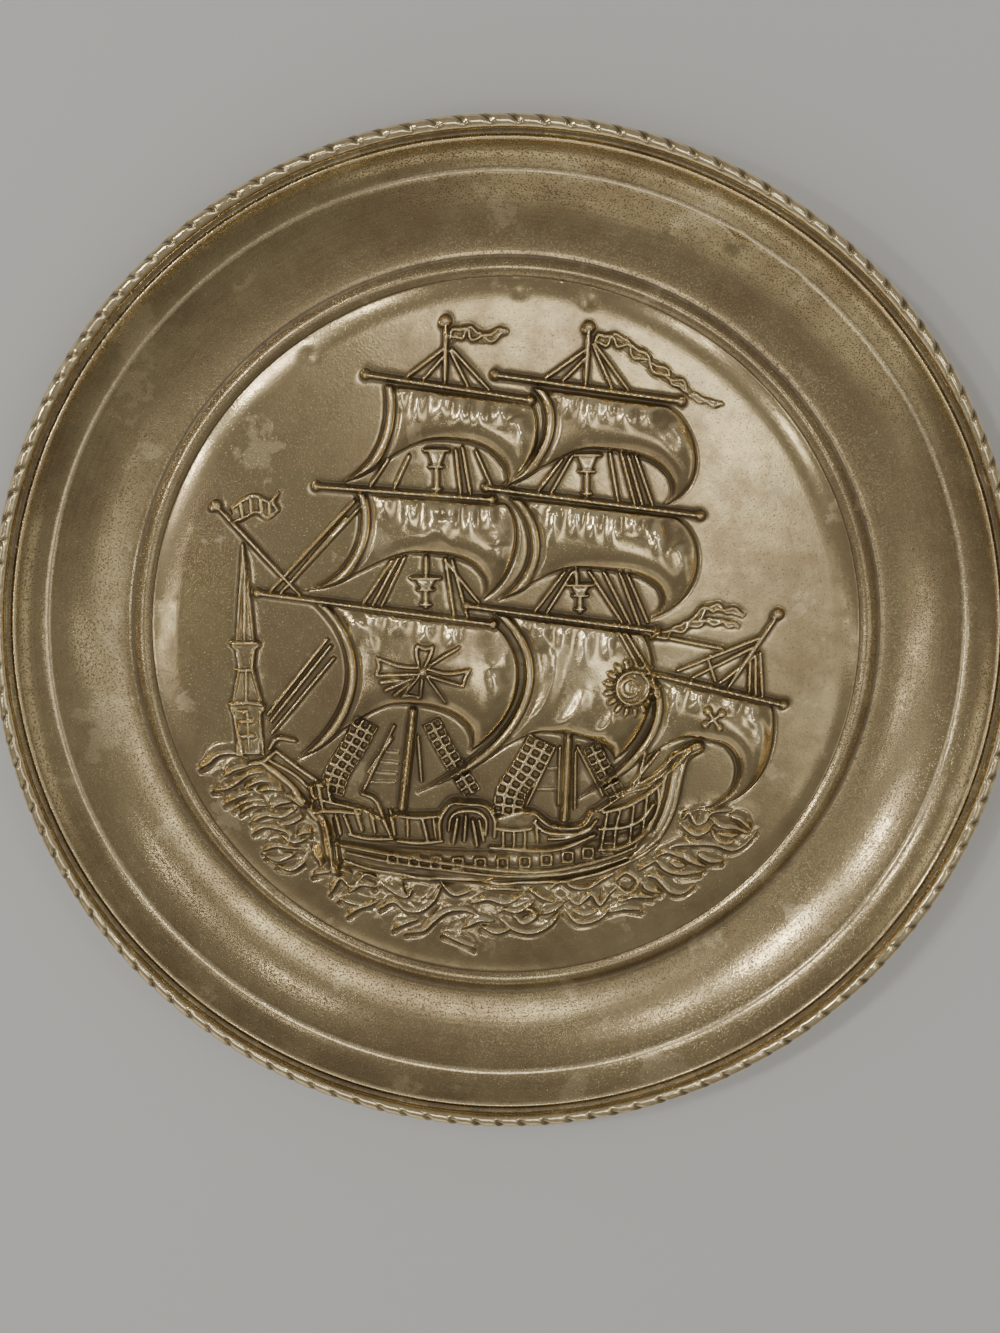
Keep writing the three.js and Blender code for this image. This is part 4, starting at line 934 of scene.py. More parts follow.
def lay_pennants(relief):
    """The flag, then twisted ribbons: a low band along the middle line, and on it two strands that
    swing to either side of it by width sin(pi loops t) / 3 and so cross at every loop's end."""
    relief.slab(FLAG, *FLAG_SLAB)
    relief.settle()
    for points in FLAG_RIBS:
        relief.lay(through(points), **FLAG_RIB)
    for points, width, loops, height in PENNANTS:
        line = through(points, 12)
        relief.lay(line, PENNANT_BAND[0] * width, PENNANT_BAND[1] * height, ends=(1, 0.6))
        share = np.linspace(0, 1, len(line))[:, None]
        along = np.gradient(line, axis=0)
        across = np.column_stack([-along[:, 1], along[:, 0]]) / np.linalg.norm(along, axis=1, keepdims=True)
        swing = width / 3 * (1 - 0.4 * share) * np.sin(np.pi * loops * share)
        sway = 0.12 * width * np.sin(2.3 * np.pi * loops * share)
        for strand, height_share, way in PENNANT_STRANDS:
            path = line + across * (sway + way * swing)
            relief.lay(path, strand, height_share * height, ends=(1, 0.7), rise=(1, 0.6))


def lay_cross(relief):
    """The cross's outline in ribs, rays between two of its arms, and a boss in its middle."""
    for points in CROSS_RIBS:
        relief.lay(through(points), **CROSS_RIB)
    for points in CROSS_RAYS:
        relief.lay(points, **CROSS_RAY)
    relief.stud(CROSS_BOSS, *CROSS_STUD)


def lay_sun(relief):
    """A rim with a groove round it, a scroll and a stud inside it, and a ring of rays."""
    turn = np.linspace(0, 2 * np.pi, 33)
    circle = np.column_stack([np.cos(turn), np.sin(turn)])
    centre = np.array(SUN_AT)
    relief.cut(centre + circle * SUN_GROOVE_RADIUS, *SUN_CUT)
    relief.lay(centre + circle * SUN_RADIUS, **SUN_RIM)
    relief.lay(centre + SUN_SCROLL_OFFSET + circle[4:29] * SUN_SCROLL_RADIUS, **SUN_SCROLL)
    relief.stud(centre + SUN_STUD_OFFSET, *SUN_STUD)
    for angle in np.linspace(0, 2 * np.pi, SUN_RAYS, endpoint=False):
        ray = np.array([math.cos(angle), math.sin(angle)])
        relief.lay([centre + ray * SUN_RAY_START, centre + ray * SUN_REACH], **SUN_RAY)


def lay_flower(relief):
    """Petals with a stud at each tip and one in the middle."""
    at = np.array(FLOWER_AT)
    for angle in np.radians(FLOWER_ANGLES):
        tip = at + FLOWER_REACH * np.array([math.cos(angle), math.sin(angle)])
        relief.lay([at, tip], **PETAL)
        relief.stud(tip, *PETAL_STUD)
    relief.stud(at, *FLOWER_STUD)


def lay_emblems(relief):
    """What is pressed into the cloth of the three lowest sails."""
    relief.settle()
    lay_cross(relief)
    lay_sun(relief)
    lay_flower(relief)


def chop(x, y):
    """Choppy water: the mean of (1 - |sin|)^2 of four trains of waves, each bent by a slow sine."""
    total = np.zeros_like(x)
    for k, (length, angle) in enumerate(CHOP_WAVES):
        along = x * math.cos(angle) + y * math.sin(angle)
        across = y * math.cos(angle) - x * math.sin(angle)
        bend = 0.9 * np.sin(across / 7 + 2 * k) + 0.6 * np.sin(across / 3.4 + along / 9 + k)
        total += (1 - np.abs(np.sin(np.pi * along / length + bend))) ** 2
    return total / len(CHOP_WAVES)


def lay_sea(relief):
    """Raised choppy bodies, each crest's trough along its lower side, and then the crests."""
    for body in SEA_BODIES:
        outline = np.vstack([body, body[:1]]).astype(float)
        at = relief.near(outline, 3)
        x, y = relief.x[at], relief.y[at]
        gap, _ = distance_to(x, y, outline)
        gap = np.where(inside_polygon(x, y, body), gap, -gap)
        cover = smooth(-2, 7, gap)
        level = relief.height[at] + cover * (SEA_HEIGHT + CHOP_HEIGHT * chop(x, y))
        relief.height[at] = np.where(relief.height[at] < SEA_STOPS_AT, level, relief.height[at])
    relief.settle()
    for points in CRESTS:
        relief.cut(through(points) - CREST_TROUGH_OFFSET, *CREST_TROUGH)
    for points in CRESTS:
        relief.crest(through(points), *CREST_SIZE)


def lay_drawing(relief):
    """Everything in the drawing, from what lies deepest to what lies on top."""
    lay_tower(relief)
    lay_sails(relief)
    lay_rigging(relief)
    lay_hull(relief)
    lay_pennants(relief)
    lay_emblems(relief)
    lay_sea(relief)


def blur(values, sigma):
    """A Gaussian blur of a square grid, as a product with exp(-2 (pi f sigma)^2) of its spectrum."""
    pad = int(4 * sigma) + 1
    wide = np.pad(values, pad, mode="edge")
    fy = np.fft.fftfreq(wide.shape[0])[:, None]
    fx = np.fft.rfftfreq(wide.shape[1])[None, :]
    spectrum = np.fft.rfft2(wide) * np.exp(-2 * (np.pi * sigma) ** 2 * (fx ** 2 + fy ** 2))
    return np.fft.irfft2(spectrum, s=wide.shape)[pad:-pad, pad:-pad]


def undulation(x, y):
    """The sheet's gentle unevenness: a sum of cosines of random direction, length and phase."""
    rng = np.random.default_rng(NOISE_SEED)
    total = np.zeros_like(x)
    for _ in range(UNDULATIONS):
        angle = rng.uniform(0, np.pi)
        wave = rng.uniform(*UNDULATION_LENGTHS)
        phase = rng.uniform(0, 2 * np.pi)
        along = x * math.cos(angle) + y * math.sin(angle)
        total += wave / UNDULATION_LENGTHS[1] * np.cos(2 * np.pi * along / wave + phase)
    return total / math.sqrt(UNDULATIONS)


def dents(x, y):
    """Round dents: depth times exp(-(d / radius)^2), summed."""
    total = np.zeros_like(x)
    for (cx, cy), radius, depth in DENTS:
        total += depth * np.exp(-((x - cx) ** 2 + (y - cy) ** 2) / radius ** 2)
    return total


def face_profile():
    """Radius and level along the face: a flat ground rolling down at its edge, a bead, the border
    and the shoulder as straight falls that sag by 4 h s (1 - s), and the channel, all blurred by
    exp(-(d / CREASE_BLUR)^2) so that the creases are round."""
    radius = np.arange(0, ROPE_CENTRE_RADIUS, PROFILE_STEP)
    corners = [GROUND_RADIUS, RING_INNER_RADIUS, BORDER_FOOT_RADIUS, SHOULDER_INNER_RADIUS,
               SHOULDER_OUTER_RADIUS, CHANNEL_RADIUS, ROPE_CENTRE_RADIUS]
    levels = [GROUND_Z, CREASE_Z, CREASE_Z, SHOULDER_FOOT_Z, SHOULDER_TOP_Z, RIM_Z - CHANNEL_DROP,
              RIM_Z - 0.5 * CHANNEL_DROP]
    level = np.interp(radius, corners, levels)

    def share(k):
        return np.clip((radius - corners[k]) / (corners[k + 1] - corners[k]), 0, 1)

    level += 0.9 * GROUND_RISE * share(0) * (1 - share(0))
    level += RING_HEIGHT * np.sin(np.pi * share(1) ** 0.92) ** 1.2
    level -= 4 * BORDER_HOLLOW * share(2) * (1 - share(2))
    level -= 4 * SHOULDER_HOLLOW * share(3) * (1 - share(3))
    for crease in (BORDER_FOOT_RADIUS + 0.9, SHOULDER_INNER_RADIUS, SHOULDER_OUTER_RADIUS):
        level += CREASE_BEAD * np.exp(-((radius - crease) / CREASE_BEAD_WIDTH) ** 2)
    kernel = np.exp(-(np.arange(-12, 13) * PROFILE_STEP / CREASE_BLUR) ** 2)
    level = np.convolve(np.pad(level, 12, mode="edge"), kernel / kernel.sum(), mode="valid")
    return radius, level


FACE_RADIUS, FACE_LEVEL = face_profile()


def face_level(x, y):
    """The dish's level at a point: its profile, the sheet's unevenness and the dents."""
    radius = np.hypot(x, y)
    level = np.interp(radius, FACE_RADIUS, FACE_LEVEL)
    level += UNDULATION_HEIGHT * undulation(x, y) * smooth(0, 20, SHOULDER_INNER_RADIUS + 20 - radius)
    return level - dents(x, y)


def grid_normals(points):
    """Normals of a grid of points: the cross product of its two directions' differences, turned up."""
    normal = np.cross(np.gradient(points, axis=1), np.gradient(points, axis=0))
    length = np.linalg.norm(normal, axis=2, keepdims=True)
    normal = np.where(length > 1e-9, normal / np.maximum(length, 1e-12), [0, 0, 1.0])
    return normal * np.where(normal[..., 2:] < 0, -1, 1)


def grid_quads(rows, columns, start=0, flip=False):
    """Quads between neighbouring rows and columns of points that are numbered row by row."""
    index = start + np.arange(rows * columns).reshape(rows, columns)
    quads = np.stack([index[:-1, :-1], index[:-1, 1:], index[1:, 1:], index[1:, :-1]], axis=-1)
    quads = quads.reshape(-1, 4)
    return quads[:, ::-1] if flip else quads


def put_piece(name, points, faces, material, normals=None, hollow=None):
    """Makes a mesh object at the origin from points in millimetres and arrays of 3 or 4 corners."""
    mesh = bpy.data.meshes.new(name)
    corners = np.concatenate([part.ravel() for part in faces]).astype(np.int32)
    sizes = np.concatenate([np.full(len(part), part.shape[1]) for part in faces])
    starts = np.concatenate([[0], np.cumsum(sizes)[:-1]]).astype(np.int32)
    mesh.vertices.add(len(points))
    mesh.vertices.foreach_set("co", (points * MM).astype(np.float32).ravel())
    mesh.loops.add(len(corners))
    mesh.loops.foreach_set("vertex_index", corners)
    mesh.polygons.add(len(sizes))
    mesh.polygons.foreach_set("loop_start", starts)
    mesh.update(calc_edges=True)
    mesh.validate()
    mesh.shade_smooth()
    if hollow is not None:
        layer = mesh.attributes.new("hollow", "FLOAT", "POINT")
        layer.data.foreach_set("value", hollow.astype(np.float32))
    if normals is not None:
        mesh.normals_split_custom_set_from_vertices(normals.astype(np.float32))
    piece = bpy.data.objects.new(name, mesh)
    bpy.context.scene.collection.objects.link(piece)
    mesh.materials.append(material)
    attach(piece, "root")
    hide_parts(NODE)
    return piece


def lowest_nearby(values, reach):
    """The least value within reach cells along both axes."""
    for axis in (0, 1):
        pad = [(reach, reach) if k == axis else (0, 0) for k in (0, 1)]
        wide = np.pad(values, pad, mode="edge")
        count = values.shape[axis]
        moved = [np.take(wide, range(k, k + count), axis=axis) for k in range(2 * reach + 1)]
        values = np.min(moved, axis=0)
    return values


# Grid lines of the front for each line of the back
BACK_STEP = 3
BAND_NAMES = ["relief_topgallants", "relief_topsails", "relief_courses", "relief_hull_and_sea"]
# The relief thins the sheet to this share, and its back stays this far above the rest plane
RELIEF_SHEET_SHARE = 0.9
BACK_CLEARANCE = 0.02
# Sharpening of the drawn relief: the blur's radius, the share of the difference and its limit
SHARPEN_BLUR = 1.3
SHARPEN_SHARE = 0.45
SHARPEN_LIMIT = 0.35
# Patina on the relief: the blur that finds its hollows, the difference that counts as full, how much the
# high forms lose to polish and painted highlight, and how much darker steep walls are, from a slope to a
# slope
HOLLOW_BLUR = 1.4
HOLLOW_FULL = 0.8
HIGH_POLISH_AND_HIGHLIGHT = 0.1
HIGH_LEVELS = (1.5, 4.5)
WALL_DARKENING = 1.1
WALL_LEAST = 0.6
WALL_SLOPES = (1.5, 3.4)
BACK_PATINA = 0.3


def ground_points(cells):
    """A square grid drawn over a disc: x = R u sqrt(1 - v^2 / 2), y = R v sqrt(1 - u^2 / 2)."""
    u, v = np.meshgrid(np.linspace(-1, 1, cells + 1), np.linspace(-1, 1, cells + 1))
    x = RING_INNER_RADIUS * u * np.sqrt(1 - v * v / 2)
    y = RING_INNER_RADIUS * v * np.sqrt(1 - u * u / 2)
    return x, y


def seam_strip(fine, coarse):
    """Four triangles between every three cells of a fine line and one cell of a coarse one."""
    f = [fine[k:len(fine) - BACK_STEP + k:BACK_STEP] for k in range(BACK_STEP + 1)]
    low, high = coarse[:-1], coarse[1:]
    return np.vstack([np.column_stack(t) for t in (
        (low, f[1], f[0]), (low, f[2], f[1]), (low, high, f[2]), (high, f[3], f[2]))])


def sharpened(drawn, spacing):
    """The drawing plus a share of its difference from its own blur, held to a limit."""
    difference = SHARPEN_SHARE * (drawn - blur(drawn, SHARPEN_BLUR / spacing))
    return drawn + np.clip(difference, -SHARPEN_LIMIT, SHARPEN_LIMIT)


def hollows(drawn, spacing, drawn_patina_and_shade):
    """Above 0 where patina and painted shade lie and below 0 where polish and painted highlight do: how
    far a point lies below the blur of its surroundings, or how steep its wall is if that is more, plus the
    drawn patina and painted shade."""
    hollow = np.clip((blur(drawn, HOLLOW_BLUR / spacing) - drawn) / HOLLOW_FULL, -1, 1)
    hollow -= HIGH_POLISH_AND_HIGHLIGHT * smooth(*HIGH_LEVELS, drawn)
    steep = np.hypot(*np.gradient(drawn)) / spacing
    hollow = np.maximum(hollow, WALL_DARKENING * smooth(*WALL_SLOPES, steep) - WALL_LEAST)
    return np.clip(hollow + drawn_patina_and_shade, -1, 1)


def build_relief(sizes, material):
    """The ground with its ship, in four closed bands of the sheet, from the top down."""
    cells = sizes.ground_cells
    x, y = ground_points(cells)
    relief = Relief(x, y)
    lay_drawing(relief)
    spacing = 2 * RING_INNER_RADIUS / cells
    drawn = sharpened(relief.height.reshape(x.shape), spacing)
    fade = smooth(0, 6, RING_INNER_RADIUS - 2 - np.hypot(x, y))
    level = face_level(x, y) + sizes.relief_height * drawn * fade
    hollow = hollows(drawn, spacing, relief.drawn_patina_and_shade.reshape(x.shape))
    front = np.dstack([x, y, level])
    normals = grid_normals(front)
    under = lowest_nearby(level, BACK_STEP) - sizes.sheet / MM * RELIEF_SHEET_SHARE
    under = np.maximum(under, BACK_CLEARANCE)
    back = np.dstack([x, y, under])[::BACK_STEP, ::BACK_STEP]
    rows = cells // len(BAND_NAMES)
    for k, name in enumerate(reversed(BAND_NAMES)):
        top = slice(k * rows, (k + 1) * rows + 1)
        low = slice(k * rows // BACK_STEP, (k + 1) * rows // BACK_STEP + 1)
        f, b = front[top], back[low]
        start, behind = f[..., 0].size, b[..., 0].size
        fine = np.arange(start).reshape(f.shape[:2])
        coarse = start + np.arange(behind).reshape(b.shape[:2])
        strips = [seam_strip(fine[0], coarse[0]), seam_strip(fine[-1][::-1], coarse[-1][::-1]),
                  seam_strip(fine[:, -1], coarse[:, -1]), seam_strip(fine[:, 0][::-1], coarse[:, 0][::-1])]
        faces = [grid_quads(*f.shape[:2]), grid_quads(*b.shape[:2], start=start, flip=True), *strips]
        points = np.vstack([f.reshape(-1, 3), b.reshape(-1, 3)])
        all_normals = np.vstack([normals[top].reshape(-1, 3), -grid_normals(b).reshape(-1, 3)])
        shade = np.concatenate([hollow[top].ravel(), np.full(behind, BACK_PATINA)])
        put_piece(name, points, faces, material, all_normals, shade)


# The border's rows of points: the radius where they start, and how many lie up to the next one
BORDER_ROWS = [
    (RING_INNER_RADIUS, 3), (RING_INNER_RADIUS + 1.5, 11), (BORDER_FOOT_RADIUS - 1, 6),
    (BORDER_FOOT_RADIUS + 2.5, 22), (SHOULDER_INNER_RADIUS - 2, 8), (SHOULDER_INNER_RADIUS + 1.5, 6),
    (SHOULDER_OUTER_RADIUS - 1.5, 13), (ROPE_CENTRE_RADIUS - 2, 1),
]
# Patina, above 0, and polish that also paints highlight lines on the shoulder's creases, below 0, in bands
# round the border: radius, width and amount
BORDER_WEAR_AND_HIGHLIGHTS = [
    (BORDER_FOOT_RADIUS, 1.2, 0.9), (CHANNEL_RADIUS + 0.8, 1.4, 0.75), (RING_INNER_RADIUS, 1.2, 0.7),
    (SHOULDER_INNER_RADIUS, 0.8, -0.7), (SHOULDER_OUTER_RADIUS, 0.8, -0.7),
]


def build_border(sizes, material):
    """The raised ring, border, shoulder and channel as one closed ring of sheet: the face's profile
    carried round the axis, and the same lowered by the sheet's slanted thickness. Its patina, and its polish
    with painted highlight lines, is the sum of the bands' amounts, each times exp(-(d / width)^2)."""
    columns = sizes.border_columns
    starts = [radius for radius, _ in BORDER_ROWS]
    radii = np.concatenate([np.linspace(start, end, count, endpoint=False) for (start, count), end
                            in zip(BORDER_ROWS, starts[1:] + starts[-1:])])
    angles = np.linspace(0, 2 * np.pi, columns, endpoint=False)
    slope = np.gradient(FACE_LEVEL, FACE_RADIUS)
    back_radii = radii[::-2]

    def ring(radius, lowered):
        r, a = np.meshgrid(radius, angles, indexing="ij")
        px, py = r * np.cos(a), r * np.sin(a)
        z = face_level(px, py)
        if lowered:
            z = z - sizes.sheet / MM * np.sqrt(1 + np.interp(r, FACE_RADIUS, slope) ** 2)
        return np.dstack([px, py, np.maximum(z, 0)])

    closed = np.concatenate([ring(radii, False), ring(back_radii, True)])
    rows = len(closed)
    index = np.arange(rows * columns).reshape(rows, columns)
    across = np.roll(index, -1, axis=1)
    onward, across_on = np.roll(index, -1, axis=0), np.roll(across, -1, axis=0)
    faces = np.stack([index, onward, across_on, across], axis=-1).reshape(-1, 4)
    r = np.hypot(closed[..., 0], closed[..., 1])
    hollow = sum(amount * np.exp(-((r - middle) / width) ** 2) for middle, width, amount in BORDER_WEAR_AND_HIGHLIGHTS)
    put_piece("border", closed.reshape(-1, 3), [faces], material, hollow=hollow.ravel())


ROPE_SECTION_POINTS = 24
NOTCH_DEPTH = 1.2
NOTCH_HALF = 0.32
STRAND_LEAN = 1.5
# Unevenness of the strands round the rim: amount, waves round it, and where they start
STRAND_DRIFT = [(0.35, 5, 0), (0.25, 13, 1), (0.15, 29, 2)]


def build_rope_edge(sizes, material):
    """A bead round the rim. Its section's radius falls in the notches between the strands by
    depth exp(-(sin(phase / 2) / NOTCH_HALF)^2), where the phase runs strands times round the axis and
    leans across the section, and the notches fade out on the inner side."""
    strands = sizes.rope_strands
    columns = strands * sizes.strand_columns
    theta = np.linspace(0, 2 * np.pi, columns, endpoint=False)[:, None]
    section = np.linspace(0, 2 * np.pi, ROPE_SECTION_POINTS, endpoint=False)[None, :]
    drift = sum(amount * np.sin(waves * theta + start) for amount, waves, start in STRAND_DRIFT)
    phase = strands * theta + drift + STRAND_LEAN * section
    notch = np.exp(-(np.sin(phase / 2) / NOTCH_HALF) ** 2)
    outer = smooth(-0.75, 0.35, np.cos(section))
    wear = 0.8 + 0.2 * np.sin(3 * theta + 0.5) * np.sin(7 * theta)
    swell = ROPE_RADIUS * (1 - 0.04 * np.sin(17 * theta) ** 2)
    radius = swell - NOTCH_DEPTH * notch * outer * wear
    r = ROPE_CENTRE_RADIUS + radius * np.cos(section)
    points = np.dstack([r * np.cos(theta), r * np.sin(theta), RIM_Z + radius * np.sin(section) + 0 * theta])
    index = np.arange(columns * ROPE_SECTION_POINTS).reshape(columns, ROPE_SECTION_POINTS)
    right, up = np.roll(index, -1, axis=0), np.roll(index, -1, axis=1)
    faces = np.stack([index, right, np.roll(right, -1, axis=1), up], axis=-1).reshape(-1, 4)
    inner = smooth(0.3, 0.9, -np.cos(section) - 0.4 * np.sin(section))
    hollow = np.clip(np.clip(notch * outer * 1.3 - 0.35, -1, 1) + 0.6 * inner, -1, 1)
    put_piece("rope_edge", points.reshape(-1, 3), [faces], material, hollow=hollow.ravel())


class NodeMaker:
    """Adds nodes to a tree and links their sockets, from plain names and values."""

    def __init__(self, tree):
        self.tree = tree

    def add(self, kind, **settings):
        node = self.tree.nodes.new(kind)
        for name, value in settings.items():
            setattr(node, name, value)
        return node

    def put(self, node, name, value):
        socket = node.inputs[name]
        if isinstance(value, bpy.types.NodeSocket):
            self.tree.links.new(value, socket)
        else:
            socket.default_value = value

    def math(self, operation, a, b=0.0, clamp=False):
        node = self.add("ShaderNodeMath", operation=operation, use_clamp=clamp)
        self.put(node, 0, a)
        self.put(node, 1, b)
        return node.outputs[0]

    def noise(self, vector, scale, detail=4.0, roughness=0.55):
        node = self.add("ShaderNodeTexNoise")
        for name, value in (("Vector", vector), ("Scale", scale), ("Detail", detail),
                            ("Roughness", roughness)):
            self.put(node, name, value)
        return node.outputs["Fac"]

    def ramp(self, value, low, high, to_low=0.0, to_high=1.0):
        node = self.add("ShaderNodeMapRange", interpolation_type="SMOOTHSTEP")
        for name, number in (("Value", value), ("From Min", low), ("From Max", high),
                             ("To Min", to_low), ("To Max", to_high)):
            self.put(node, name, number)
        return node.outputs["Result"]

    def blend(self, factor, a, b):
        node = self.add("ShaderNodeMix", data_type="RGBA", clamp_factor=True)
        self.put(node, 0, factor)
        self.put(node, 6, a)
        self.put(node, 7, b)
        return node.outputs[2]


def new_group(name, inputs, outputs):
    """A shader node group with float inputs and their defaults, and float outputs."""
    tree = bpy.data.node_groups.new(name, "ShaderNodeTree")
    for label, default in inputs.items():
        socket = tree.interface.new_socket(label, in_out="INPUT", socket_type="NodeSocketFloat")
        socket.default_value = default
    for label in outputs:
        tree.interface.new_socket(label, in_out="OUTPUT", socket_type="NodeSocketFloat")
    maker = NodeMaker(tree)
    return tree, maker, maker.add("NodeGroupInput"), maker.add("NodeGroupOutput")


def turned_lines_group():
    """Fine lines round the dish's axis: noise over the radius, drawn out along the angle."""
    tree, maker, given, made = new_group("Turned lines", {"Fineness": 900.0, "Length": 6.0}, ["Lines"])
    place = maker.add("ShaderNodeTexCoord").outputs["Object"]
    parts = maker.add("ShaderNodeSeparateXYZ")
    maker.put(parts, 0, place)
    x, y = parts.outputs["X"], parts.outputs["Y"]
    square = maker.math("ADD", maker.math("MULTIPLY", x, x), maker.math("MULTIPLY", y, y))
    radius = maker.math("SQRT", square)
    angle = maker.math("ARCTAN2", y, x)
    joined = maker.add("ShaderNodeCombineXYZ")
    maker.put(joined, "X", maker.math("MULTIPLY", radius, given.outputs["Fineness"]))
    maker.put(joined, "Y", maker.math("MULTIPLY", maker.math("COSINE", angle), given.outputs["Length"]))
    maker.put(joined, "Z", maker.math("MULTIPLY", maker.math("SINE", angle), given.outputs["Length"]))
    maker.put(made, "Lines", maker.noise(joined.outputs[0], 1.0, 3.0, 0.6))
    return tree


def tarnish_group():
    """Cloudy tarnish in two sizes of noise, stains with a crisp edge, and speckles where fine noise
    peaks."""
    tree, maker, given, made = new_group(
        "Tarnish", {"Cloud size": 18.0, "Speckle size": 1200.0, "Speckle amount": 0.3},
        ["Clouds", "Speckles", "Stains"])
    place = maker.add("ShaderNodeTexCoord").outputs["Object"]
    broad = maker.noise(place, given.outputs["Cloud size"], 5.0, 0.62)
    small = maker.noise(place, maker.math("MULTIPLY", given.outputs["Cloud size"], 6.0), 4.0, 0.6)
    clouds = maker.math("ADD", maker.math("MULTIPLY", broad, 0.7), maker.math("MULTIPLY", small, 0.3))
    maker.put(made, "Clouds", maker.ramp(clouds, 0.36, 0.64))
    patches = maker.noise(place, maker.math("MULTIPLY", given.outputs["Cloud size"], 2.2), 6.0, 0.6)
    maker.put(made, "Stains", maker.ramp(patches, 0.585, 0.62))
    fine = maker.noise(place, given.outputs["Speckle size"], 2.0, 0.7)
    floor = maker.math("SUBTRACT", 0.8, given.outputs["Speckle amount"])
    maker.put(made, "Speckles", maker.ramp(fine, floor, maker.math("ADD", floor, 0.12)))
    return tree


# The hollow attribute's values between which patina and painted shade, and on crests polish and painted
# highlight, come in
PATINA_AND_SHADE_RANGE = (0.25, 0.75)
POLISH_AND_HIGHLIGHT_RANGE = (0.0, 0.5)


def wear_group():
    """Patina in the hollows and polish on the crests, both broken up by noise; on the relief the patina also
    paints shade, and the polish paints highlights. The mesh's hollow attribute is above 0 in recesses and
    where shade is painted, and below 0 on crests."""
    tree, maker, given, made = new_group("Wear", {"Patina": 1.0}, ["Patina", "Polish and highlight"])
    hollow = maker.add("ShaderNodeAttribute", attribute_name="hollow").outputs["Fac"]
    place = maker.add("ShaderNodeTexCoord").outputs["Object"]
    rough = maker.math("MULTIPLY", maker.math("SUBTRACT", maker.noise(place, 260.0), 0.5), 0.5)
    depth = maker.math("ADD", hollow, rough)
    darkening = maker.ramp(depth, *PATINA_AND_SHADE_RANGE)
    maker.put(made, "Patina", maker.math("MULTIPLY", darkening, given.outputs["Patina"]))
    maker.put(made, "Polish and highlight", maker.ramp(maker.math("MULTIPLY", depth, -1.0), *POLISH_AND_HIGHLIGHT_RANGE))
    return tree


# The finishes: strength of the turned lines, share of speckles, darkening by patina and, on the relief, by
# painted shade, and scale of the clouds
FINISHES = {
    "brass_relief": dict(lines=0.35, speckles=0.18, darkening=0.64, cloud_size=18.0),
    "brass_border": dict(lines=1.1, speckles=0.27, darkening=0.6, cloud_size=12.0),
    "brass_rope": dict(lines=0.0, speckles=0.16, darkening=0.85, cloud_size=40.0),
}
STAIN_COLOUR_SHARE = 0.3
PIT_COLOUR_SHARE = 0.42
# Roughness added by patina with its painted shade, pits and stains, taken off by polish with its painted
# highlight, and its reach over the tones
PATINA_AND_SHADE_ROUGHNESS = 0.2
PIT_ROUGHNESS = 0.2
STAIN_ROUGHNESS = 0.06
POLISH_AND_HIGHLIGHT_GLOSS = 0.08
TARNISHED_ROUGHNESS = 0.07
CLEAN_GLOSS = 0.03
# Patina and painted shade take this share of the metal's mirror away
PATINA_AND_SHADE_DULLS = 0.7
# Heights in the bump: lines, pits and grain as shares of its distance in metres
BUMP_DISTANCE = 0.00022
BUMP_STRENGTH = 0.5
LINE_DEPTH = 0.35
PIT_DEPTH = 0.35
GRAIN_DEPTH = 0.3


def aged_brass(name, looks, groups, lines, speckles, darkening, cloud_size):
    """Aged brass: a tarnished and a clean tone mixed by clouds, darkened by patina in the hollows and by
    painted shade where the mesh marks it, and brightened by polish and painted highlight on the crests, with
    turned lines and fine pits in its gloss and its surface."""
    material = bpy.data.materials.new(name)
    material.use_nodes = True
    maker = NodeMaker(material.node_tree)
    shader = material.node_tree.nodes["Principled BSDF"]

    def group(tree, **values):
        node = maker.add("ShaderNodeGroup", node_tree=tree)
        for label, value in values.items():
            node.inputs[label.replace("_", " ")].default_value = value
        return node

    turned = group(groups["turned"], Fineness=looks.line_fineness, Length=5.0).outputs["Lines"]
    tarnish = group(groups["tarnish"], Cloud_size=cloud_size, Speckle_amount=speckles)
    wear = group(groups["wear"], Patina=darkening)
    spots, stains = tarnish.outputs["Speckles"], tarnish.outputs["Stains"]
    dull, polish_and_highlight = wear.outputs["Patina"], wear.outputs["Polish and highlight"]
    line = maker.math("SUBTRACT", turned, 0.5)

    def times(value, share):
        return maker.math("MULTIPLY", value, share)

    tone = maker.math("ADD", tarnish.outputs["Clouds"], times(line, lines), clamp=True)
    colour = maker.blend(tone, (*looks.tarnished, 1), (*looks.clean, 1))
    for share, paint in ((times(stains, STAIN_COLOUR_SHARE), looks.polished_and_highlight),
                         (times(spots, PIT_COLOUR_SHARE), looks.pits),
                         (polish_and_highlight, looks.polished_and_highlight), (dull, looks.pits)):
        colour = maker.blend(share, colour, (*paint, 1))
    maker.put(shader, "Base Color", colour)
    gloss = maker.ramp(tone, 0.0, 1.0, looks.roughness + TARNISHED_ROUGHNESS, looks.roughness - CLEAN_GLOSS)
    for value, share in ((dull, PATINA_AND_SHADE_ROUGHNESS), (spots, PIT_ROUGHNESS), (stains, STAIN_ROUGHNESS)):
        gloss = maker.math("ADD", gloss, times(value, share))
    maker.put(shader, "Roughness", maker.math("SUBTRACT", gloss, times(polish_and_highlight, POLISH_AND_HIGHLIGHT_GLOSS)))
    maker.put(shader, "Metallic", maker.math("SUBTRACT", 1.0, times(dull, PATINA_AND_SHADE_DULLS)))
    rough = maker.math("SUBTRACT", times(line, lines * LINE_DEPTH), times(spots, PIT_DEPTH))
    place = maker.add("ShaderNodeTexCoord").outputs["Object"]
    grain = times(maker.noise(place, 900.0, 3.0, 0.6), GRAIN_DEPTH)
    bump = maker.add("ShaderNodeBump")
    maker.put(bump, "Strength", BUMP_STRENGTH)
    maker.put(bump, "Distance", BUMP_DISTANCE)
    maker.put(bump, "Height", maker.math("ADD", rough, grain))
    maker.put(shader, "Normal", bump.outputs["Normal"])
    return material


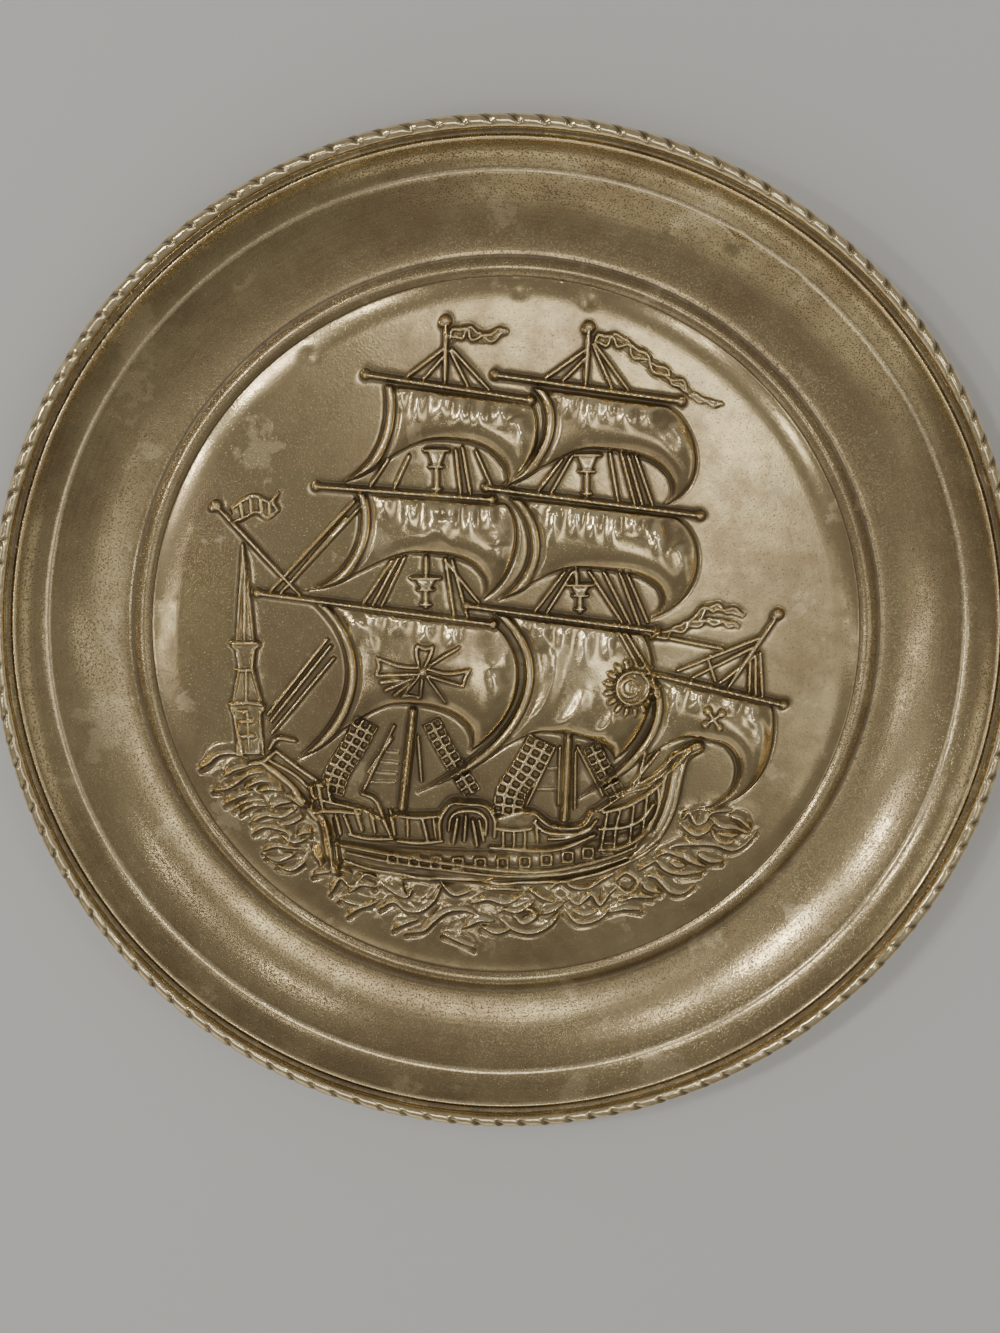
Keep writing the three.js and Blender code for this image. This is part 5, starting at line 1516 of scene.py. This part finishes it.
def brass_material(name, looks):
    """One of the finishes of the same brass, all of which are made at the first call."""
    if name not in bpy.data.materials:
        groups = {"turned": turned_lines_group(), "tarnish": tarnish_group(), "wear": wear_group()}
        for finish, values in FINISHES.items():
            aged_brass(finish, looks, groups, **values)
    return bpy.data.materials[name]


class DishSizes(PropertyGroup):
    """Sizes of the dish that can be changed before it is built."""

    sheet: FloatProperty(name="Sheet", description="Thickness of the sheet", default=0.001,
                         min=0.0002, unit="LENGTH")
    relief_height: FloatProperty(name="Relief height", default=1.0, min=0.1, max=1.5, subtype="FACTOR",
                                 description="Height of the relief as a share of the drawn one")
    ground_cells: IntProperty(name="Ground cells", description="Cells across the ground, a multiple of 12",
                              default=576, min=120, step=12)
    border_columns: IntProperty(name="Border columns", description="Columns round the border",
                                default=720, min=90)
    rope_strands: IntProperty(name="Rope strands", description="Strands round the rope edge",
                              default=128, min=16)
    strand_columns: IntProperty(name="Strand columns", description="Columns of points in each strand",
                                default=14, min=6)


class DishLooks(PropertyGroup):
    """Colours and gloss of the brass."""

    clean: FloatVectorProperty(name="Clean brass", description="Colour where the brass is clean",
                               default=(0.57, 0.46, 0.25), subtype="COLOR", min=0, max=1)
    tarnished: FloatVectorProperty(name="Tarnished brass", description="Colour where the brass is tarnished",
                                   default=(0.38, 0.285, 0.16), subtype="COLOR", min=0, max=1)
    # Painted highlight: this colour on the crests is rubbed brass and also stands in for their highlights;
    # the light stains use it too
    polished_and_highlight: FloatVectorProperty(name="Polished brass and highlights", description="Colour on rubbed crests",
                                  default=(0.93, 0.77, 0.47), subtype="COLOR", min=0, max=1)
    # Also the colour of the painted shade under the courses and towards the sails' feet
    pits: FloatVectorProperty(name="Patina", description="Colour in pits and recesses",
                              default=(0.05, 0.04, 0.03), subtype="COLOR", min=0, max=1)
    roughness: FloatProperty(name="Roughness", description="Roughness of clean brass", default=0.165,
                             min=0.05, max=0.9, subtype="FACTOR")
    line_fineness: FloatProperty(name="Line fineness", description="Turned lines per metre of radius",
                                 default=900.0, min=50)


class StageLooks(PropertyGroup):
    """The floor, the lights and the camera."""

    floor: FloatVectorProperty(name="Floor", description="Colour of the floor", default=(0.82, 0.82, 0.80),
                               subtype="COLOR", min=0, max=1)
    world: FloatProperty(name="World light", description="Strength of the even light from above",
                         default=0.27, min=0)
    lamps: FloatProperty(name="Lamps", description="Power of a lamp with a share of 1", default=1.0, min=0,
                         unit="POWER")
    lens: FloatProperty(name="Lens", description="Focal length in millimetres", default=45.91, min=1)


class DISH_OT_relief(Operator):
    """Build the ground with the ship in relief"""

    bl_idname = "dish.relief"
    bl_label = "Ground and relief"

    def execute(self, context):
        material = brass_material("brass_relief", context.scene.dish_looks)
        build_relief(context.scene.dish_sizes, material)
        return {"FINISHED"}


class DISH_OT_border(Operator):
    """Build the raised ring, the border and the shoulder"""

    bl_idname = "dish.border"
    bl_label = "Border"

    def execute(self, context):
        material = brass_material("brass_border", context.scene.dish_looks)
        build_border(context.scene.dish_sizes, material)
        return {"FINISHED"}


class DISH_OT_rope_edge(Operator):
    """Build the rope edge"""

    bl_idname = "dish.rope_edge"
    bl_label = "Rope edge"

    def execute(self, context):
        material = brass_material("brass_rope", context.scene.dish_looks)
        build_rope_edge(context.scene.dish_sizes, material)
        return {"FINISHED"}


CAMERA_AT = (0.0037, 0.1425, 0.7576)
CAMERA_AXES = ((0.99997, 0.0, -0.0081), (-0.0016, 0.9795, -0.2012), (0.0080, 0.2012, 0.9795))
FLOOR_SIZE = 6.0
# A little below the rest plane, so that the floor and the dish don't share a face
FLOOR_Z = -0.0002
FLOOR_ROUGHNESS = 0.85
SENSOR_WIDTH = 36
WHITE, SOFT, WARM = (1.0, 0.98, 0.95), (1.0, 0.98, 0.94), (1.0, 0.95, 0.88)
# Area lights: name, place, size in metres, power as a multiple of the lamps' one, and colour. Each
# is what one side of the dish's relief or border mirrors.
LIGHTS = [
    ("lamp_left", (-0.95, 0.68, 1.9), (0.16, 0.16), 4.8, WHITE),
    ("lamp_left_back", (-0.6, 1.0, 1.9), (0.12, 0.12), 1.1, WHITE),
    ("lamp_left_low", (-1.3, 0.3, 1.7), (0.12, 0.12), 2.5, WHITE),
    ("lamp_right", (1.05, 0.38, 1.9), (0.1, 0.1), 0.75, WHITE),
    ("lamp_right_back", (0.75, 0.85, 1.9), (0.1, 0.1), 0.75, WHITE),
    ("tube_left", (-1.1, -0.38, 2.0), (0.04, 0.9), 1.3, WHITE),
    ("tube_right", (1.25, -0.38, 2.0), (0.04, 0.9), 0.4, WHITE),
    ("overhead_top", (0.14, 0.14, 2.1), (0.8, 0.46), 2.5, SOFT),
    ("overhead_right", (0.6, -0.46, 2.1), (0.42, 1.1), 0.85, SOFT),
    ("low_left", (-2.2, 0.3, 0.75), (1.6, 0.4), 1.5, WARM),
    ("low_right", (2.2, -0.3, 0.7), (1.6, 0.4), 0.9, WARM),
    ("front", (-0.7, -1.7, 1.2), (1.8, 0.8), 1.8, WARM),
    ("front_low", (-0.6, -2.1, 0.6), (2.4, 0.4), 2.6, WARM),
]
# The world's light fades to its low strength between these shares of a direction that leans away
# from the viewer
WORLD_AXIS = (0.0, 0.34, 0.94)
WORLD_FADE = (0.0, 0.4)
WORLD_LOW = 0.19
WORLD_COLOUR = (1, 0.97, 0.93, 1)


def build_floor(looks):
    """A plain pale square, a little below the dish."""
    half = FLOOR_SIZE / 2
    corners = [(x * half, y * half, FLOOR_Z) for x, y in ((-1, -1), (1, -1), (1, 1), (-1, 1))]
    mesh = bpy.data.meshes.new("floor")
    mesh.from_pydata(corners, [], [(0, 1, 2, 3)])
    floor = bpy.data.objects.new("floor", mesh)
    bpy.context.scene.collection.objects.link(floor)
    paint = bpy.data.materials.new("pale_floor")
    paint.use_nodes = True
    shader = paint.node_tree.nodes["Principled BSDF"]
    shader.inputs["Base Color"].default_value = (*looks.floor, 1)
    shader.inputs["Roughness"].default_value = FLOOR_ROUGHNESS
    mesh.materials.append(paint)


def build_world(looks):
    """Even light from above that fades towards the viewer's side and the floor."""
    world = bpy.data.worlds.new("studio")
    world.use_nodes = True
    maker = NodeMaker(world.node_tree)
    background = world.node_tree.nodes["Background"]
    background.inputs["Color"].default_value = WORLD_COLOUR
    lean = maker.add("ShaderNodeVectorMath", operation="DOT_PRODUCT")
    maker.put(lean, 0, maker.add("ShaderNodeTexCoord").outputs["Generated"])
    maker.put(lean, 1, WORLD_AXIS)
    strength = maker.ramp(lean.outputs["Value"], *WORLD_FADE, WORLD_LOW, looks.world)
    maker.put(background, "Strength", strength)
    bpy.context.scene.world = world


def build_lights(looks):
    """Area lights that face the dish."""
    for name, place, size, share, colour in LIGHTS:
        light = bpy.data.lights.new(name, "AREA")
        light.shape = "RECTANGLE"
        light.size, light.size_y = size
        light.energy = looks.lamps * share
        light.color = colour
        lamp = bpy.data.objects.new(name, light)
        lamp.location = place
        lamp.rotation_euler = Vector(place).to_track_quat("Z", "Y").to_euler()
        bpy.context.scene.collection.objects.link(lamp)


def build_camera(looks):
    """The camera where the photo was taken from, nearly above the dish."""
    camera = bpy.data.cameras.new("camera")
    camera.lens = looks.lens
    camera.sensor_width = SENSOR_WIDTH
    viewer = bpy.data.objects.new("camera", camera)
    turn = Matrix(CAMERA_AXES).transposed().to_4x4()
    viewer.matrix_world = Matrix.Translation(CAMERA_AT) @ turn
    bpy.context.scene.collection.objects.link(viewer)
    bpy.context.scene.camera = viewer


class DISH_OT_stage(Operator):
    """Build the floor, the lights and the camera"""

    bl_idname = "dish.stage"
    bl_label = "Stage"

    def execute(self, context):
        for build in (build_floor, build_world, build_lights, build_camera):
            build(context.scene.dish_stage)
        return {"FINISHED"}


OPERATORS = [DISH_OT_relief, DISH_OT_border, DISH_OT_rope_edge, DISH_OT_stage]


class DISH_PT_panel(Panel):
    """Lists the dish's sizes, looks and operators"""

    bl_label = "Pressed brass dish"
    bl_space_type = "VIEW_3D"
    bl_region_type = "UI"
    bl_category = "Dish"

    def draw(self, context):
        scene = context.scene
        for group in (scene.dish_sizes, scene.dish_looks, scene.dish_stage):
            box = self.layout.box()
            for name in group.bl_rna.properties.keys():
                if name not in ("rna_type", "name"):
                    box.prop(group, name)
        for operator in OPERATORS:
            self.layout.operator(operator.bl_idname)


GROUPS = {"dish_sizes": DishSizes, "dish_looks": DishLooks, "dish_stage": StageLooks}
CLASSES = [*GROUPS.values(), *OPERATORS, DISH_PT_panel]


def register():
    for cls in CLASSES:
        bpy.utils.register_class(cls)
    for name, group in GROUPS.items():
        setattr(bpy.types.Scene, name, PointerProperty(type=group))


def unregister():
    for name in GROUPS:
        delattr(bpy.types.Scene, name)
    for cls in reversed(CLASSES):
        bpy.utils.unregister_class(cls)


def main():
    """Registers the classes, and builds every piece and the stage."""
    register()
    bpy.ops.dish.relief()
    bpy.ops.dish.border()
    bpy.ops.dish.rope_edge()
    bpy.ops.dish.stage()


if __name__ == "__main__":
    main()
